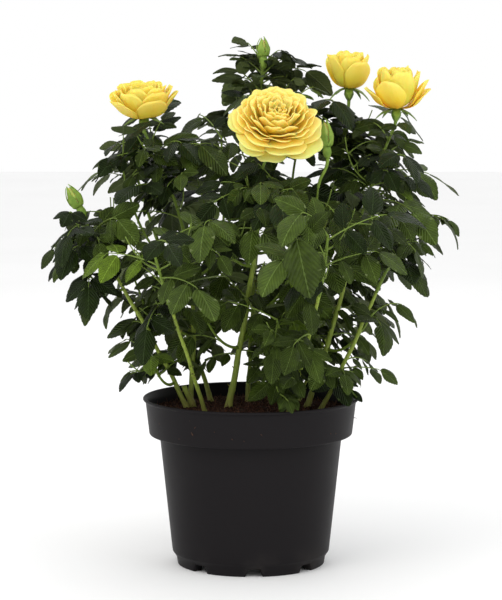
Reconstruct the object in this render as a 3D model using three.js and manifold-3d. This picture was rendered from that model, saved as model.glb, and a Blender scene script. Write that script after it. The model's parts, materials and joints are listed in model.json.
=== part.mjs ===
// A yellow patio rose bush in a round nursery pot.
// Millimetres, +Z up. The origin is the middle of the pot's underside, and -Y is the front.
//
// Twelve canes rise from the soil. Each is one tapering limb that ends where it enters its foliage.
// Each foliage mass is one closed body: a stem that carries a cane on, or leaves its side, and
// feathered leaves that stand on that stem by a seeded rule. A leaf is a thin rib with an odd number
// of blades, and every blade's root is sunk in its rib. Blooms and buds stand on stalks of their own.

import * as THREE from 'three';
import { mergeVertices } from 'three/addons/utils/BufferGeometryUtils.js';
import Module from 'manifold-3d';

const wasm = await Module();
wasm.setup();

const { PI, cos, sin, sqrt, min, max, abs, hypot } = Math;
const degree = PI / 180;
const clearance = 0.3;
const sideClearance = 0.45;
const goldenTurn = 137.5 * degree;

// Driving dimensions -------------------------------------------------------------------------

const pot = {
  height: 148,
  rimRadius: 95,
  beadHeight: 2.6,
  beadDepth: 1.5,
  collarTopRadius: 93.2,
  collarFootRadius: 89.6,
  collarFootHeight: 117,
  bodyTopRadius: 80.6,
  bodyFootRadius: 69.4,
  bodyFootHeight: 12,
  footRadius: 65.2,
  footWidth: 8,
  wall: 1.8,
  floorLift: 6.7,
  floorThickness: 2.4,
  bossRadius: 14,
  notches: 8,
  notchWidth: 10.6,
  notchFlare: 2.4,
  firstNotch: -87.5 * degree,
  drainRadius: 4.5,
  drainCircle: 40,
  sides: 32,
};

const soil = {
  edgeHeight: 135.5,
  crown: 5,
  socketDepth: 8,
};

// Canes: where each leaves the soil, the point its curve is drawn towards, and its tip.
const canes = {
  cane_left_outer: { foot: [-53, 6], pull: [-88, -2, 208], tip: [-127, -12, 270], girth: [2.4, 1.6] },
  cane_left: { foot: [-55, 16], pull: [-46, 14, 215], tip: [-56, 16, 276], girth: [2.5, 1.9] },
  cane_centre: { foot: [-21, -3], pull: [-6, -2, 205], tip: [5, -16, 288], girth: [3.3, 2.3] },
  cane_right: { foot: [47, 9], pull: [74, 11, 205], tip: [89, 6, 276], girth: [2.8, 2.0] },
  cane_right_outer: { foot: [58, -2], pull: [84, -10, 180], tip: [110, -18, 244], girth: [2.3, 1.6] },
  cane_back_right: { foot: [22, 31], pull: [46, 42, 225], tip: [68, 42, 303], girth: [2.3, 1.6] },
  cane_back: { foot: [-3, 33], pull: [2, 46, 235], tip: [8, 50, 330], girth: [2.4, 1.7] },
  cane_rear_left: { foot: [-33, 36], pull: [-58, 78, 205], tip: [-86, 106, 278], girth: [2.4, 1.7] },
  cane_rear: { foot: [6, 52], pull: [6, 96, 215], tip: [2, 118, 298], girth: [2.4, 1.7] },
  cane_rear_right: { foot: [38, 36], pull: [74, 76, 200], tip: [98, 104, 270], girth: [2.4, 1.7] },
  cane_front_left: { foot: [-38, -22], pull: [-52, -52, 185], tip: [-68, -78, 236], girth: [2.1, 1.5] },
  cane_front_right: { foot: [31, -24], pull: [46, -58, 190], tip: [58, -86, 248], girth: [2.2, 1.6] },
  new_shoot: { foot: [27, -6], pull: [27, -8, 175], tip: [22, -10, 206], girth: [1.6, 0.9] },
};

// Foliage: the limb it stands on, how far up that limb it leaves it (the tip if none is given),
// the end of its stem, how many leaves it bears, how long they are, and its seed.
const foliage = {
  foliage_left_outer_top: { on: 'cane_left_outer', to: [-142, -17, 302], leaves: 5, long: 84, seed: 981 },
  foliage_left_top: { on: 'cane_left', to: [-90, 11, 374], leaves: 7, long: 100, seed: 80 },
  foliage_centre_top: { on: 'cane_centre', to: [9, -32, 342], leaves: 5, long: 96, seed: 996 },
  foliage_right_top: { on: 'cane_right', to: [122, -1, 378], leaves: 7, long: 94, seed: 94 },
  foliage_right_outer_top: { on: 'cane_right_outer', to: [140, -22, 298], leaves: 6, long: 92, seed: 926 },
  foliage_back_right_top: { on: 'cane_back_right', to: [84, 38, 384], leaves: 6, long: 90, seed: 239 },
  foliage_back_top: { on: 'cane_back', to: [10, 52, 436], leaves: 7, long: 84, seed: 937 },
  foliage_rear_left_top: { on: 'cane_rear_left', to: [-108, 128, 345], leaves: 5, long: 92, seed: 317 },
  foliage_rear_top: { on: 'cane_rear', to: [4, 138, 372], leaves: 5, long: 92, seed: 547 },
  foliage_rear_right_top: { on: 'cane_rear_right', to: [124, 124, 335], leaves: 5, long: 92, seed: 237 },
  foliage_front_left_top: { on: 'cane_front_left', to: [-82, -104, 290], leaves: 5, long: 88, seed: 778 },
  foliage_front_right_top: { on: 'cane_front_right', to: [64, -112, 300], leaves: 5, long: 91, seed: 962 },
  foliage_foot_left: { on: 'cane_left_outer', at: 0.2, to: [-88, -10, 182], leaves: 4, long: 72, seed: 134 },
  foliage_foot_right: { on: 'cane_right', at: 0.16, to: [74, -26, 172], leaves: 4, long: 66, seed: 859 },
  foliage_rim_right: { on: 'cane_front_right', at: 0.16, to: [42, -62, 164], leaves: 3, long: 64, seed: 923 },
  foliage_mid_right: { on: 'cane_back_right', at: 0.32, to: [50, 12, 216], leaves: 3, long: 78, seed: 290 },
  foliage_mid_front: { on: 'cane_front_right', at: 0.5, to: [22, -60, 224], leaves: 3, long: 78, seed: 556 },
  foliage_foot_centre: { on: 'cane_front_right', at: 0.3, to: [22, -44, 178], leaves: 3, long: 56, seed: 984 },
  foliage_left_outer_low: { on: 'cane_left_outer', at: 0.8, to: [-142, -24, 260], leaves: 4, long: 85, seed: 44 },
  foliage_left_outer_rear: { on: 'cane_left_outer', at: 0.5, to: [-104, 40, 248], leaves: 3, long: 86, seed: 914 },
  foliage_left_front: { on: 'cane_left', at: 0.45, to: [-78, -26, 232], leaves: 3, long: 87, seed: 264 },
  foliage_left_rear: { on: 'cane_left', at: 0.65, to: [-80, 46, 290], leaves: 3, long: 90, seed: 547 },
  foliage_left_high: { on: 'cane_left', at: 0.92, to: [-112, -4, 350], leaves: 4, long: 86, seed: 572 },
  foliage_left_inner: { on: 'cane_left', at: 0.82, to: [-24, 2, 330], leaves: 3, long: 91, seed: 68 },
  foliage_centre_low: { on: 'cane_centre', at: 0.4, to: [-40, -36, 224], leaves: 3, long: 80, seed: 27 },
  foliage_centre_front: { on: 'cane_centre', at: 0.62, to: [36, -42, 262], leaves: 3, long: 90, seed: 102 },
  foliage_centre_left: { on: 'cane_centre', at: 0.86, to: [-28, -48, 300], leaves: 3, long: 90, seed: 448 },
  foliage_right_low: { on: 'cane_right', at: 0.4, to: [106, -10, 222], leaves: 3, long: 84, seed: 570 },
  foliage_right_inner: { on: 'cane_right', at: 0.78, to: [58, -32, 334], leaves: 4, long: 90, seed: 485 },
  foliage_right_high: { on: 'cane_right', at: 0.92, to: [134, 22, 312], leaves: 3, long: 92, seed: 9 },
  foliage_back_right: { on: 'cane_back_right', at: 0.66, to: [92, 72, 286], leaves: 3, long: 90, seed: 390 },
  foliage_back_inner: { on: 'cane_back_right', at: 0.88, to: [50, 34, 396], leaves: 4, long: 84, seed: 935 },
  foliage_back_low: { on: 'cane_back', at: 0.5, to: [-32, 70, 258], leaves: 2, long: 90, seed: 272 },
  foliage_back_high: { on: 'cane_back', at: 0.84, to: [-26, 34, 376], leaves: 3, long: 86, seed: 925 },
  foliage_rear_left_low: { on: 'cane_rear_left', at: 0.55, to: [-98, 66, 232], leaves: 3, long: 90, seed: 12 },
  foliage_rear_low: { on: 'cane_rear', at: 0.55, to: [-22, 122, 240], leaves: 3, long: 92, seed: 48 },
  foliage_rear_high: { on: 'cane_rear', at: 0.8, to: [52, 128, 296], leaves: 3, long: 92, seed: 568 },
  foliage_rear_right_low: { on: 'cane_rear_right', at: 0.55, to: [112, 68, 226], leaves: 3, long: 90, seed: 865 },
};

// A leaf's proportions, mostly as shares of its whole length.
const leaf = {
  ribShare: 0.58,
  ribGirth: [0.95, 0.7],
  seat: 1.2,
  endBladeShare: 0.44,
  pairs: [
    { at: 0.3, share: 0.31 },
    { at: 0.78, share: 0.37 },
  ],
  smallLeaf: 85,
  bladeWidth: 0.64,
  widestAt: 0.44,
  thickness: 1,
  bladeGap: 0.05,
  spread: 62 * degree,
  lift: 0.3,
  leastLift: -0.4,
  liftOver: 90,
  facesOut: 0.5,
  facesFront: 0.8,
  tries: 8,
};

const caneSides = 6;
const caneSteps = 5;
const stem = { girth: [1.8, 1.3], sideGirth: [1.5, 1.2], sides: 3, steps: 3 };

// Flowers: the foliage whose stem each one ends, where its cup begins, the way it faces, and its
// petals in rings, each drawn from the claw past a pull point to its lip (radius and height).
const blooms = {
  bloom_centre: {
    on: 'foliage_centre_top',
    base: [21, -50, 388],
    axis: [0.06, -0.7, 0.71],
    heart: [[0, -1], [8, 0], [20, 8], [26, 18], [20, 25], [0, 23]],
    rings: [
      { petals: 5, start: 18, pull: [27, -3], lip: [41, 2], half: 0.7, drop: 3 },
      { petals: 5, start: 54, pull: [25, 0], lip: [35, 13], half: 0.68, drop: 3 },
    ],
  },
  bloom_left: {
    on: 'foliage_left_top',
    base: [-93, 9, 391],
    axis: [-0.05, -0.2, 1],
    heart: [[0, -1], [6, 0], [15, 7], [20, 19], [16, 30], [0, 28]],
    rings: [
      { petals: 5, start: 10, pull: [22, 1], lip: [30, 24], half: 0.66, drop: 5 },
    ],
  },
  bloom_right: {
    on: 'foliage_right_top',
    base: [127, 0, 398],
    axis: [0.06, -0.1, 1],
    heart: [[0, -1], [8, 0], [15, 7], [17.5, 20], [14, 35], [0, 37]],
    rings: [
      { petals: 3, start: 60, pull: [22, 2], lip: [30, 18], half: 0.55, drop: 4 },
    ],
  },
  bloom_back: {
    on: 'foliage_back_right_top',
    base: [87, 40, 414],
    axis: [0, -0.1, 1],
    heart: [[0, -1], [6, 0], [11, 8], [13, 20], [9, 30], [0, 29]],
    rings: [
      { petals: 4, start: 20, pull: [16, 2], lip: [19, 30], half: 0.72, drop: 4 },
    ],
  },
};

const buds = {
  bud_left: { on: 'foliage_left_outer_top', base: [-149, -20, 317], axis: [-0.5, -0.1, 0.9], length: 19, radius: 6 },
  bud_top: { on: 'foliage_back_top', base: [11, 50, 449], axis: [-0.05, 0, 1], length: 15, radius: 5.5 },
  bud_right: { on: 'foliage_right_inner', base: [65, -37, 370], axis: [-0.1, -0.1, 1], length: 21, radius: 6 },
};

const flowering = new Set([...Object.values(blooms), ...Object.values(buds)].map(({ on }) => foliage[on]));

const petalThickness = 1.4;
const stalkGirth = [1.4, 1.7];
const hipProfile = [[0, -11], [2, -11], [4.4, -6], [3.6, -1], [4.5, 1], [0, 2]];

const crown = { centre: [4, 0, 298], halfWidth: 196, halfDepth: 180, above: 168, below: 176 };

// Solids ---------------------------------------------------------------------------------------

const vector = (point) => new THREE.Vector3(...point);
const up = new THREE.Vector3(0, 0, 1);
const front = new THREE.Vector3(0, -1, 0);

function toSolid(geometry) {
  const bare = geometry.clone();
  bare.deleteAttribute('normal');
  bare.deleteAttribute('uv');
  const merged = mergeVertices(bare, 1e-5);
  return new wasm.Manifold(new wasm.Mesh({
    numProp: 3,
    vertProperties: new Float32Array(merged.attributes.position.array),
    triVerts: new Uint32Array(merged.index.array),
  }));
}

function toGeometry(solid) {
  const mesh = solid.getMesh();
  const geometry = new THREE.BufferGeometry();
  geometry.setAttribute('position', new THREE.BufferAttribute(mesh.vertProperties, 3));
  geometry.setIndex(new THREE.BufferAttribute(mesh.triVerts, 1));
  geometry.computeVertexNormals();
  return geometry;
}

// The union's largest body: a loose scrap, or the skin of a sealed hollow, is left behind.
function fuse(solids) {
  const pieces = wasm.Manifold.union(solids).decompose();
  return pieces.reduce((best, piece) => (piece.volume() > best.volume() ? piece : best));
}

function reshape(geometry, place) {
  const position = geometry.attributes.position;
  const point = new THREE.Vector3();
  for (let i = 0; i < position.count; i += 1) {
    place(point.fromBufferAttribute(position, i));
    position.setXYZ(i, point.x, point.y, point.z);
  }
  return geometry;
}

// A tapering round limb: a cylinder bent along a curve.
function limb(curve, girth, sides, steps) {
  const chord = curve.getPoint(1).sub(curve.getPoint(0)).normalize();
  const reference = abs(chord.y) < 0.8 ? new THREE.Vector3(0, 1, 0) : new THREE.Vector3(1, 0, 0);
  const straight = new THREE.CylinderGeometry(girth[1], girth[0], 1, sides, steps);
  return reshape(straight, (point) => {
    const t = min(1, max(0, point.y + 0.5));
    const along = curve.getTangent(t);
    const across = new THREE.Vector3().crossVectors(along, reference).normalize();
    const over = new THREE.Vector3().crossVectors(across, along);
    const [x, z] = [point.x, point.z];
    point.copy(curve.getPoint(t)).addScaledVector(across, x).addScaledVector(over, z);
  });
}

const bend = (from, pull, to) => new THREE.QuadraticBezierCurve3(from, pull, to);

// Pot and soil ---------------------------------------------------------------------------------

function potRadius(height) {
  const share = (height - pot.bodyFootHeight) / (pot.collarFootHeight - pot.bodyFootHeight);
  return pot.bodyFootRadius + (pot.bodyTopRadius - pot.bodyFootRadius) * share;
}

function collarRadius(height) {
  const share = (height - pot.collarFootHeight) / (pot.height - pot.collarFootHeight);
  return pot.collarFootRadius + (pot.collarTopRadius - pot.collarFootRadius) * share;
}

function latheOf(profile, sides) {
  const turned = new THREE.LatheGeometry(profile.map(([r, z]) => new THREE.Vector2(r, z)), sides);
  return turned.rotateX(PI / 2);
}

function potInside(gap) {
  const step = pot.collarFootHeight;
  const floor = pot.floorLift + pot.floorThickness + gap;
  const wall = pot.wall + gap;
  return [
    [potRadius(step - 4) - wall, step - 1.5 + gap],
    [potRadius(pot.bodyFootHeight) - wall, pot.bodyFootHeight + 2],
    [pot.footRadius - wall - 1, floor],
    [0, floor],
  ];
}

function makePot() {
  const step = pot.collarFootHeight;
  const bead = pot.height - pot.beadHeight;
  const footInside = pot.footRadius - pot.footWidth;
  const outside = [
    [0, 0],
    [pot.bossRadius, 0],
    [pot.bossRadius + 1, pot.floorLift],
    [footInside - 1, pot.floorLift],
    [footInside, 0],
    [pot.footRadius - 1.4, 0],
    [pot.footRadius, 1.2],
    [pot.bodyFootRadius, pot.bodyFootHeight],
    [potRadius(step - 3), step - 3],
    [pot.collarFootRadius - 1.6, step - 1.8],
    [pot.collarFootRadius, step],
    [collarRadius(bead), bead],
    [pot.rimRadius, bead + 0.4],
    [pot.rimRadius, pot.height - 0.7],
    [pot.rimRadius - pot.beadDepth, pot.height],
    [collarRadius(pot.height - 0.6) - pot.wall, pot.height - 0.6],
    [collarRadius(step + 1.6) - pot.wall, step + 1.6],
  ];
  const shell = toSolid(latheOf([...outside, ...potInside(0)], pot.sides));
  const cuts = [];
  for (let i = 0; i < pot.notches; i += 1) {
    const turn = pot.firstNotch + (i * 2 * PI) / pot.notches;
    cuts.push(notch(turn));
    const half = turn + PI / pot.notches;
    const drain = new THREE.CylinderGeometry(pot.drainRadius, pot.drainRadius, 12, 6);
    drain.rotateX(PI / 2);
    drain.translate(pot.drainCircle * cos(half), pot.drainCircle * sin(half), pot.floorLift);
    cuts.push(toSolid(drain));
  }
  return shell.subtract(wasm.Manifold.union(cuts));
}

// A gap in the foot ring, wider below than above.
function notch(turn) {
  const half = pot.notchWidth / 2;
  const outline = new THREE.Shape();
  outline.moveTo(-half - pot.notchFlare, -1);
  outline.lineTo(half + pot.notchFlare, -1);
  outline.lineTo(half, pot.floorLift);
  outline.lineTo(-half, pot.floorLift);
  const block = new THREE.ExtrudeGeometry(outline, { depth: 2 * pot.footWidth, bevelEnabled: false });
  block.rotateX(PI / 2);
  block.translate(0, pot.footRadius + 0.5 * pot.footWidth, 0);
  block.rotateZ(turn - PI / 2);
  return toSolid(block);
}

function soilHeight(x, y) {
  return soil.edgeHeight + soil.crown * (1 - hypot(x, y) / pot.collarFootRadius);
}

function makeSoil(sockets) {
  const step = pot.collarFootHeight;
  const wall = pot.wall + clearance;
  const edge = collarRadius(soil.edgeHeight) - wall;
  const profile = [
    ...potInside(clearance).reverse(),
    [collarRadius(step + 1.6) - wall, step + 1.6 + clearance],
    [edge, soil.edgeHeight],
    [0, soil.edgeHeight + soil.crown],
  ];
  return toSolid(latheOf(profile, pot.sides)).subtract(wasm.Manifold.union(sockets));
}

// Canes ----------------------------------------------------------------------------------------

function caneCurve({ foot, pull, tip }) {
  const base = soilHeight(...foot) - soil.socketDepth;
  return bend(new THREE.Vector3(...foot, base), vector(pull), vector(tip));
}

// The hole that a cane's foot stands in, a clearance wider than the cane and as deep again.
function socket(cane) {
  const curve = caneCurve(cane);
  const along = curve.getTangent(0);
  const bottom = curve.getPoint(0).addScaledVector(along, -clearance);
  const top = bottom.clone().addScaledVector(along, 2 * soil.socketDepth);
  const radius = (cane.girth[0] + clearance) / cos(PI / caneSides);
  return toSolid(limb(new THREE.LineCurve3(bottom, top), [radius, radius], caneSides, 1));
}

// Foliage --------------------------------------------------------------------------------------

// An even stream of numbers that a seed fixes.
function numbers(seed) {
  let state = Math.imul(seed, 2654435761) >>> 0;
  return (low, high) => {
    state = (Math.imul(state, 1664525) + 1013904223) >>> 0;
    return low + ((high - low) * state) / 4294967296;
  };
}

function stemCurve({ at, to }, carrier, girthOf) {
  const end = vector(to);
  if (at === undefined) {
    const along = carrier.getTangent(1);
    const start = carrier.getPoint(1).addScaledVector(along, clearance);
    const reach = start.distanceTo(end);
    return bend(start, start.clone().addScaledVector(along, 0.45 * reach), end);
  }
  const root = carrier.getPoint(at);
  const along = carrier.getTangent(at);
  const away = end.clone().sub(root);
  away.addScaledVector(along, -away.dot(along)).normalize();
  const start = root.clone().addScaledVector(away, girthOf(at) + sideClearance);
  const reach = start.distanceTo(end);
  return bend(start, start.clone().addScaledVector(away, 0.4 * reach), end);
}

// The draws for each leaf of a mass, in order, made before any leaf is tried.
function leafDraws(mass) {
  const draw = numbers(mass.seed);
  const draws = [];
  let turn = draw(0, 2 * PI);
  for (let i = 0; i < mass.leaves; i += 1) {
    draws.push({
      turn,
      size: draw(0.86, 1.1),
      rise: draw(-0.05, 0.35),
      sag: draw(0.15, 0.45),
      roll: draw(-0.4, 0.4),
      droop: draw(0.2, 0.8),
      spread: draw(0.9, 1.1),
    });
    turn += goldenTurn + draw(-0.3, 0.3);
  }
  return draws;
}

// Where a leaf's rib and its blades lie. The last leaf of a mass carries its stem on.
function leafPlan(curve, mass, index, draws, attempt) {
  const last = index === mass.leaves - 1 && !flowering.has(mass);
  const t = last ? 0.985 : 0.3 + (0.62 * index) / max(1, mass.leaves - 2);
  const root = curve.getPoint(min(t, 0.985));
  const along = curve.getTangent(t);
  const reference = abs(along.z) < 0.9 ? up : new THREE.Vector3(0, 1, 0);
  const across = new THREE.Vector3().crossVectors(along, reference).normalize();
  const over = new THREE.Vector3().crossVectors(across, along);
  const turn = draws.turn + attempt * (attempt % 2 ? 0.4 : -0.4);
  const outward = new THREE.Vector3(root.x, root.y, 0);
  outward.divideScalar(max(60, outward.length()));
  const heading = new THREE.Vector3()
    .addScaledVector(across, cos(turn))
    .addScaledVector(over, sin(turn))
    .addScaledVector(along, last ? 1.6 : 0.4)
    .addScaledVector(outward, 0.5)
    .normalize();
  const level = new THREE.Vector3(heading.x, heading.y, 0).normalize();
  const lift = min(1, max(leaf.leastLift, (root.z - crown.centre[2]) / leaf.liftOver));
  const climb = min(1.2, max(-0.3, 0.6 * heading.z + draws.rise + leaf.lift * lift));
  const size = mass.long * draws.size;
  const rib = leaf.ribShare * size;
  const facing = up.clone()
    .addScaledVector(outward, leaf.facesOut)
    .addScaledVector(front, leaf.facesFront * min(1, max(0, 0.6 - root.y / 120)))
    .addScaledVector(new THREE.Vector3(-level.y, level.x, 0), draws.roll)
    .normalize();
  const ribPoint = (s) => root.clone()
    .addScaledVector(level, rib * cos(climb) * s)
    .addScaledVector(up, rib * (sin(climb) * s - draws.sag * s * s));
  const ribAlong = (s) => level.clone()
    .multiplyScalar(cos(climb))
    .addScaledVector(up, sin(climb) - 2 * draws.sag * s)
    .normalize();
  const bladeAt = (s, share, angle) => {
    const forward = ribAlong(s);
    const left = new THREE.Vector3().crossVectors(facing, forward).normalize();
    const direction = forward.clone()
      .multiplyScalar(cos(angle))
      .addScaledVector(left, sin(angle))
      .addScaledVector(up, -draws.droop * (angle === 0 ? 1 : 0.6))
      .normalize();
    const wing = new THREE.Vector3().crossVectors(facing, direction).normalize();
    return { root: ribPoint(s), direction, wing, length: share * size, side: Math.sign(angle) };
  };
  const angle = leaf.spread * draws.spread;
  const pairs = size < leaf.smallLeaf ? leaf.pairs.slice(1) : leaf.pairs;
  const blades = [bladeAt(1, leaf.endBladeShare, 0)];
  const spots = [0];
  for (const { at, share } of pairs) {
    blades.push(bladeAt(at, share, angle), bladeAt(at, share, -angle));
    spots.push(at - leaf.seat / rib, at + leaf.seat / rib);
  }
  const rings = [...spots, 1].map((s) => {
    const forward = ribAlong(s);
    const left = new THREE.Vector3().crossVectors(facing, forward).normalize();
    const over = new THREE.Vector3().crossVectors(forward, left);
    const girth = leaf.ribGirth[0] + (leaf.ribGirth[1] - leaf.ribGirth[0]) * s;
    const corner = (sideways, upward) => ribPoint(s)
      .addScaledVector(left, sideways * girth)
      .addScaledVector(over, upward * girth);
    return [corner(0.87, 0.5), corner(-0.87, 0.5), corner(0, -1)];
  });
  return { rings, blades };
}

// The section of a blade where it is widest: its left edge, its right edge and its keel.
function bladeMiddle({ root, direction, wing, length }) {
  const under = new THREE.Vector3().crossVectors(direction, wing).multiplyScalar(-leaf.thickness);
  const middle = root.clone().addScaledVector(direction, leaf.widestAt * length);
  const half = (leaf.bladeWidth * length) / 2;
  return [
    middle.clone().addScaledVector(wing, half),
    middle.clone().addScaledVector(wing, -half),
    middle.clone().add(under),
  ];
}

const bladeTip = ({ root, direction, length }) => root.clone().addScaledVector(direction, length);

// A skin of triangles that grows ring by ring. Each ring has three corners, left, right and keel.
class Skin {
  constructor() {
    this.points = [];
    this.faces = [];
  }

  ring(corners) {
    return corners.map((corner) => this.points.push(corner) - 1);
  }

  // Two faces for four corners. The diagonal is the one that stands out, so a twisted skin stays open.
  quad(a, b, c, d) {
    const [p, q, r, s] = [a, b, c, d].map((i) => this.points[i]);
    const [across, over] = [r.clone().sub(p), s.clone().sub(q)];
    const standsOut = p.clone().add(r).sub(q).sub(s).dot(across.cross(over)) > 0;
    this.faces.push(...(standsOut ? [a, b, c, a, c, d] : [a, b, d, b, c, d]));
  }

  band(from, to) {
    for (let i = 0; i < 3; i += 1) {
      const j = (i + 1) % 3;
      this.quad(from[i], from[j], to[j], to[i]);
    }
  }

  // A blade that grows out of the triangle on its root, and ends in a point.
  blade(root, each) {
    const middle = this.ring(bladeMiddle(each));
    const [tip] = this.ring([bladeTip(each)]);
    this.band(root, middle);
    this.faces.push(middle[0], middle[1], tip, middle[1], middle[2], tip, middle[2], middle[0], tip);
  }

  solid() {
    return toSolid(new THREE.BufferGeometry().setFromPoints(this.points).setIndex(this.faces));
  }
}

// The triangle that a blade grows out of, on the rib's end or on its side behind a pair's seat.
function bladeRoot(rings, blade, index) {
  if (blade.side === 0) {
    return rings.at(-1);
  }
  const near = rings[2 * index - 1];
  const far = rings[2 * index];
  return blade.side > 0 ? [near[0], far[0], near[2]] : [far[1], near[1], near[2]];
}

// A leaf in one skin: the rib's rings, with the chosen blades standing on them.
function leafSolid({ rings, blades }, chosen) {
  const skin = new Skin();
  const ribs = rings.map((corners) => skin.ring(corners));
  const [start] = ribs;
  skin.faces.push(start[0], start[2], start[1]);
  for (let k = 0; k + 1 < ribs.length; k += 1) {
    const [near, far] = [ribs[k], ribs[k + 1]];
    const seats = k % 2 === 1;
    skin.faces.push(near[0], near[1], far[1], near[0], far[1], far[0]);
    skin.faces.push(near[2], far[0], far[2], near[2], far[2], far[1]);
    const pair = (k + 1) / 2;
    const open = [1, -1].map((side) => seats && chosen.includes(blades[2 * pair - (side > 0 ? 1 : 0)]));
    if (!open[0]) {
      skin.faces.push(near[2], near[0], far[0]);
    }
    if (!open[1]) {
      skin.faces.push(near[1], near[2], far[1]);
    }
  }
  if (!chosen.includes(blades[0])) {
    skin.faces.push(...ribs.at(-1));
  }
  chosen.forEach((each) => {
    const pair = Math.ceil(blades.indexOf(each) / 2);
    skin.blade(bladeRoot(ribs, each, pair), each);
  });
  return skin.solid();
}

// A blade by itself, for finding out what it would touch.
function bladeSolid(rings, each, pair) {
  const skin = new Skin();
  const root = skin.ring(bladeRoot(rings, each, pair));
  skin.faces.push(root[0], root[2], root[1]);
  skin.blade(root, each);
  return skin.solid();
}

// The crown's own room: an egg round the canes that no leaf reaches out of.
function insideCrown(point) {
  const [x, y, z] = crown.centre;
  const rise = point.z > z ? crown.above : crown.below;
  const [across, deep, high] = [point.x - x, point.y - y, point.z - z];
  return hypot(across / crown.halfWidth, deep / crown.halfDepth, high / rise) < 1;
}

const placed = [];

function place(solid, owner = '') {
  placed.push({ solid, owner, box: solid.boundingBox() });
}

// True where a solid keeps its clearance from all that stands, apart from what it grows on.
function isClear(solid, host = 'nothing') {
  const box = solid.boundingBox();
  return placed.every((other) => {
    const apart = [0, 1, 2].some((i) => box.min[i] > other.box.max[i] + clearance
      || box.max[i] < other.box.min[i] - clearance);
    return other.owner === host || apart || solid.minGap(other.solid, 1) >= clearance;
  });
}

// A leaf with the blades that find room, or nothing where its rib or its end blade has none.
function growLeaf(plan, host) {
  if (!isClear(leafSolid(plan, []), host)) {
    return undefined;
  }
  const taken = [];
  const chosen = plan.blades.filter((each, i) => {
    const free = bladeSolid(plan.rings, each, Math.ceil(i / 2));
    const apart = taken.every((other) => free.minGap(other, 1) > leaf.bladeGap);
    if (!apart || !insideCrown(bladeTip(each)) || !isClear(free)) {
      return false;
    }
    taken.push(free);
    return true;
  });
  return chosen.length > 1 && chosen[0].side === 0 ? leafSolid(plan, chosen) : undefined;
}

function growLeaves(name, mass, curve) {
  const grown = [];
  leafDraws(mass).forEach((draws, index) => {
    for (let attempt = 0; attempt < leaf.tries; attempt += 1) {
      const solid = growLeaf(leafPlan(curve, mass, index, draws, attempt), name);
      if (solid) {
        grown.push(solid);
        place(solid);
        break;
      }
    }
  });
  return grown;
}

// Blooms and buds ------------------------------------------------------------------------------

function flowerFrame({ base, axis }) {
  const along = vector(axis).normalize();
  const across = new THREE.Vector3().crossVectors(along, new THREE.Vector3(0, 1, 0)).normalize();
  const over = new THREE.Vector3().crossVectors(along, across);
  const origin = vector(base);
  return (point, radius, turn, height) => point.copy(origin)
    .addScaledVector(across, radius * cos(turn))
    .addScaledVector(over, radius * sin(turn))
    .addScaledVector(along, height);
}

// A petal: a thin box wrapped round the flower's axis, along a curve from its claw to its lip.
function petal(frame, ring, turn) {
  const path = new THREE.QuadraticBezierCurve(
    new THREE.Vector2(2, 0),
    new THREE.Vector2(...ring.pull),
    new THREE.Vector2(...ring.lip),
  );
  const sheet = new THREE.BoxGeometry(2, 1, 1, 2, 2, 1);
  return toSolid(reshape(sheet, (point) => {
    const [u, v] = [point.x, point.y + 0.5];
    const spot = path.getPoint(v);
    const slope = path.getTangent(v);
    const width = ring.half * sqrt(max(0.12, 1 - ((v - 0.55) / 0.62) ** 2));
    const depth = point.z * petalThickness;
    const tuck = 1 + 0.07 * u;
    const radius = (spot.x + depth * slope.y) * tuck;
    const height = spot.y - depth * slope.x - ring.drop * u * u * v;
    frame(point, radius, turn + u * width, height);
  }));
}

function turned(frame, profile, sides) {
  return toSolid(reshape(latheOf(profile, sides), (point) => {
    frame(point, hypot(point.x, point.y), Math.atan2(point.y, point.x), point.z);
  }));
}

function stalkCurve({ on, base, axis }) {
  const carrier = stemCurves[on];
  const along = carrier.getTangent(1);
  const start = carrier.getPoint(1).addScaledVector(along, clearance);
  const end = vector(base);
  const reach = 0.4 * start.distanceTo(end);
  return new THREE.CubicBezierCurve3(
    start,
    start.clone().addScaledVector(along, reach),
    end.clone().addScaledVector(vector(axis).normalize(), -reach),
    end,
  );
}

function makeBloom(bloom) {
  const frame = flowerFrame(bloom);
  const parts = [
    toSolid(limb(stalkCurve(bloom), stalkGirth, stem.sides, stem.steps)),
    turned(frame, hipProfile, 6),
    turned(frame, bloom.heart, 8),
  ];
  for (const ring of bloom.rings) {
    for (let i = 0; i < ring.petals; i += 1) {
      parts.push(petal(frame, ring, (ring.start + (i * 360) / ring.petals) * degree));
    }
  }
  return fuse(parts);
}

function makeBud(bud) {
  const { length, radius } = bud;
  const profile = [
    [0, -0.34], [0.34, -0.32], [0.5, -0.16], [0.4, -0.02], [0.85, 0.12], [1, 0.32], [0.62, 0.66], [0, 1],
  ].map(([r, z]) => [r * radius, z * length]);
  const stalk = toSolid(limb(stalkCurve(bud), stalkGirth, stem.sides, stem.steps));
  return fuse([stalk, turned(flowerFrame(bud), profile, 8)]);
}

// The plant ------------------------------------------------------------------------------------

const finishes = {
  pot: { color: 0x2d2a2b, roughness: 0.5, metalness: 0 },
  soil: { color: 0x3a2418, roughness: 1, metalness: 0 },
  cane: { color: 0x6e8228, roughness: 0.6, metalness: 0 },
  shoot: { color: 0x96be14, roughness: 0.5, metalness: 0 },
  foliage: { color: 0x2f4a24, roughness: 0.5, metalness: 0 },
  bloom: { color: 0xf5cd46, roughness: 0.6, metalness: 0 },
  bud: { color: 0xaabe64, roughness: 0.6, metalness: 0 },
};

const rosebush = new THREE.Group();

function add(name, solid, finish) {
  const mesh = new THREE.Mesh(toGeometry(solid), new THREE.MeshStandardMaterial(finishes[finish]));
  mesh.name = name;
  rosebush.add(mesh);
}

const entries = Object.entries;
const caneCurves = {};
const stemCurves = {};

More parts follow.
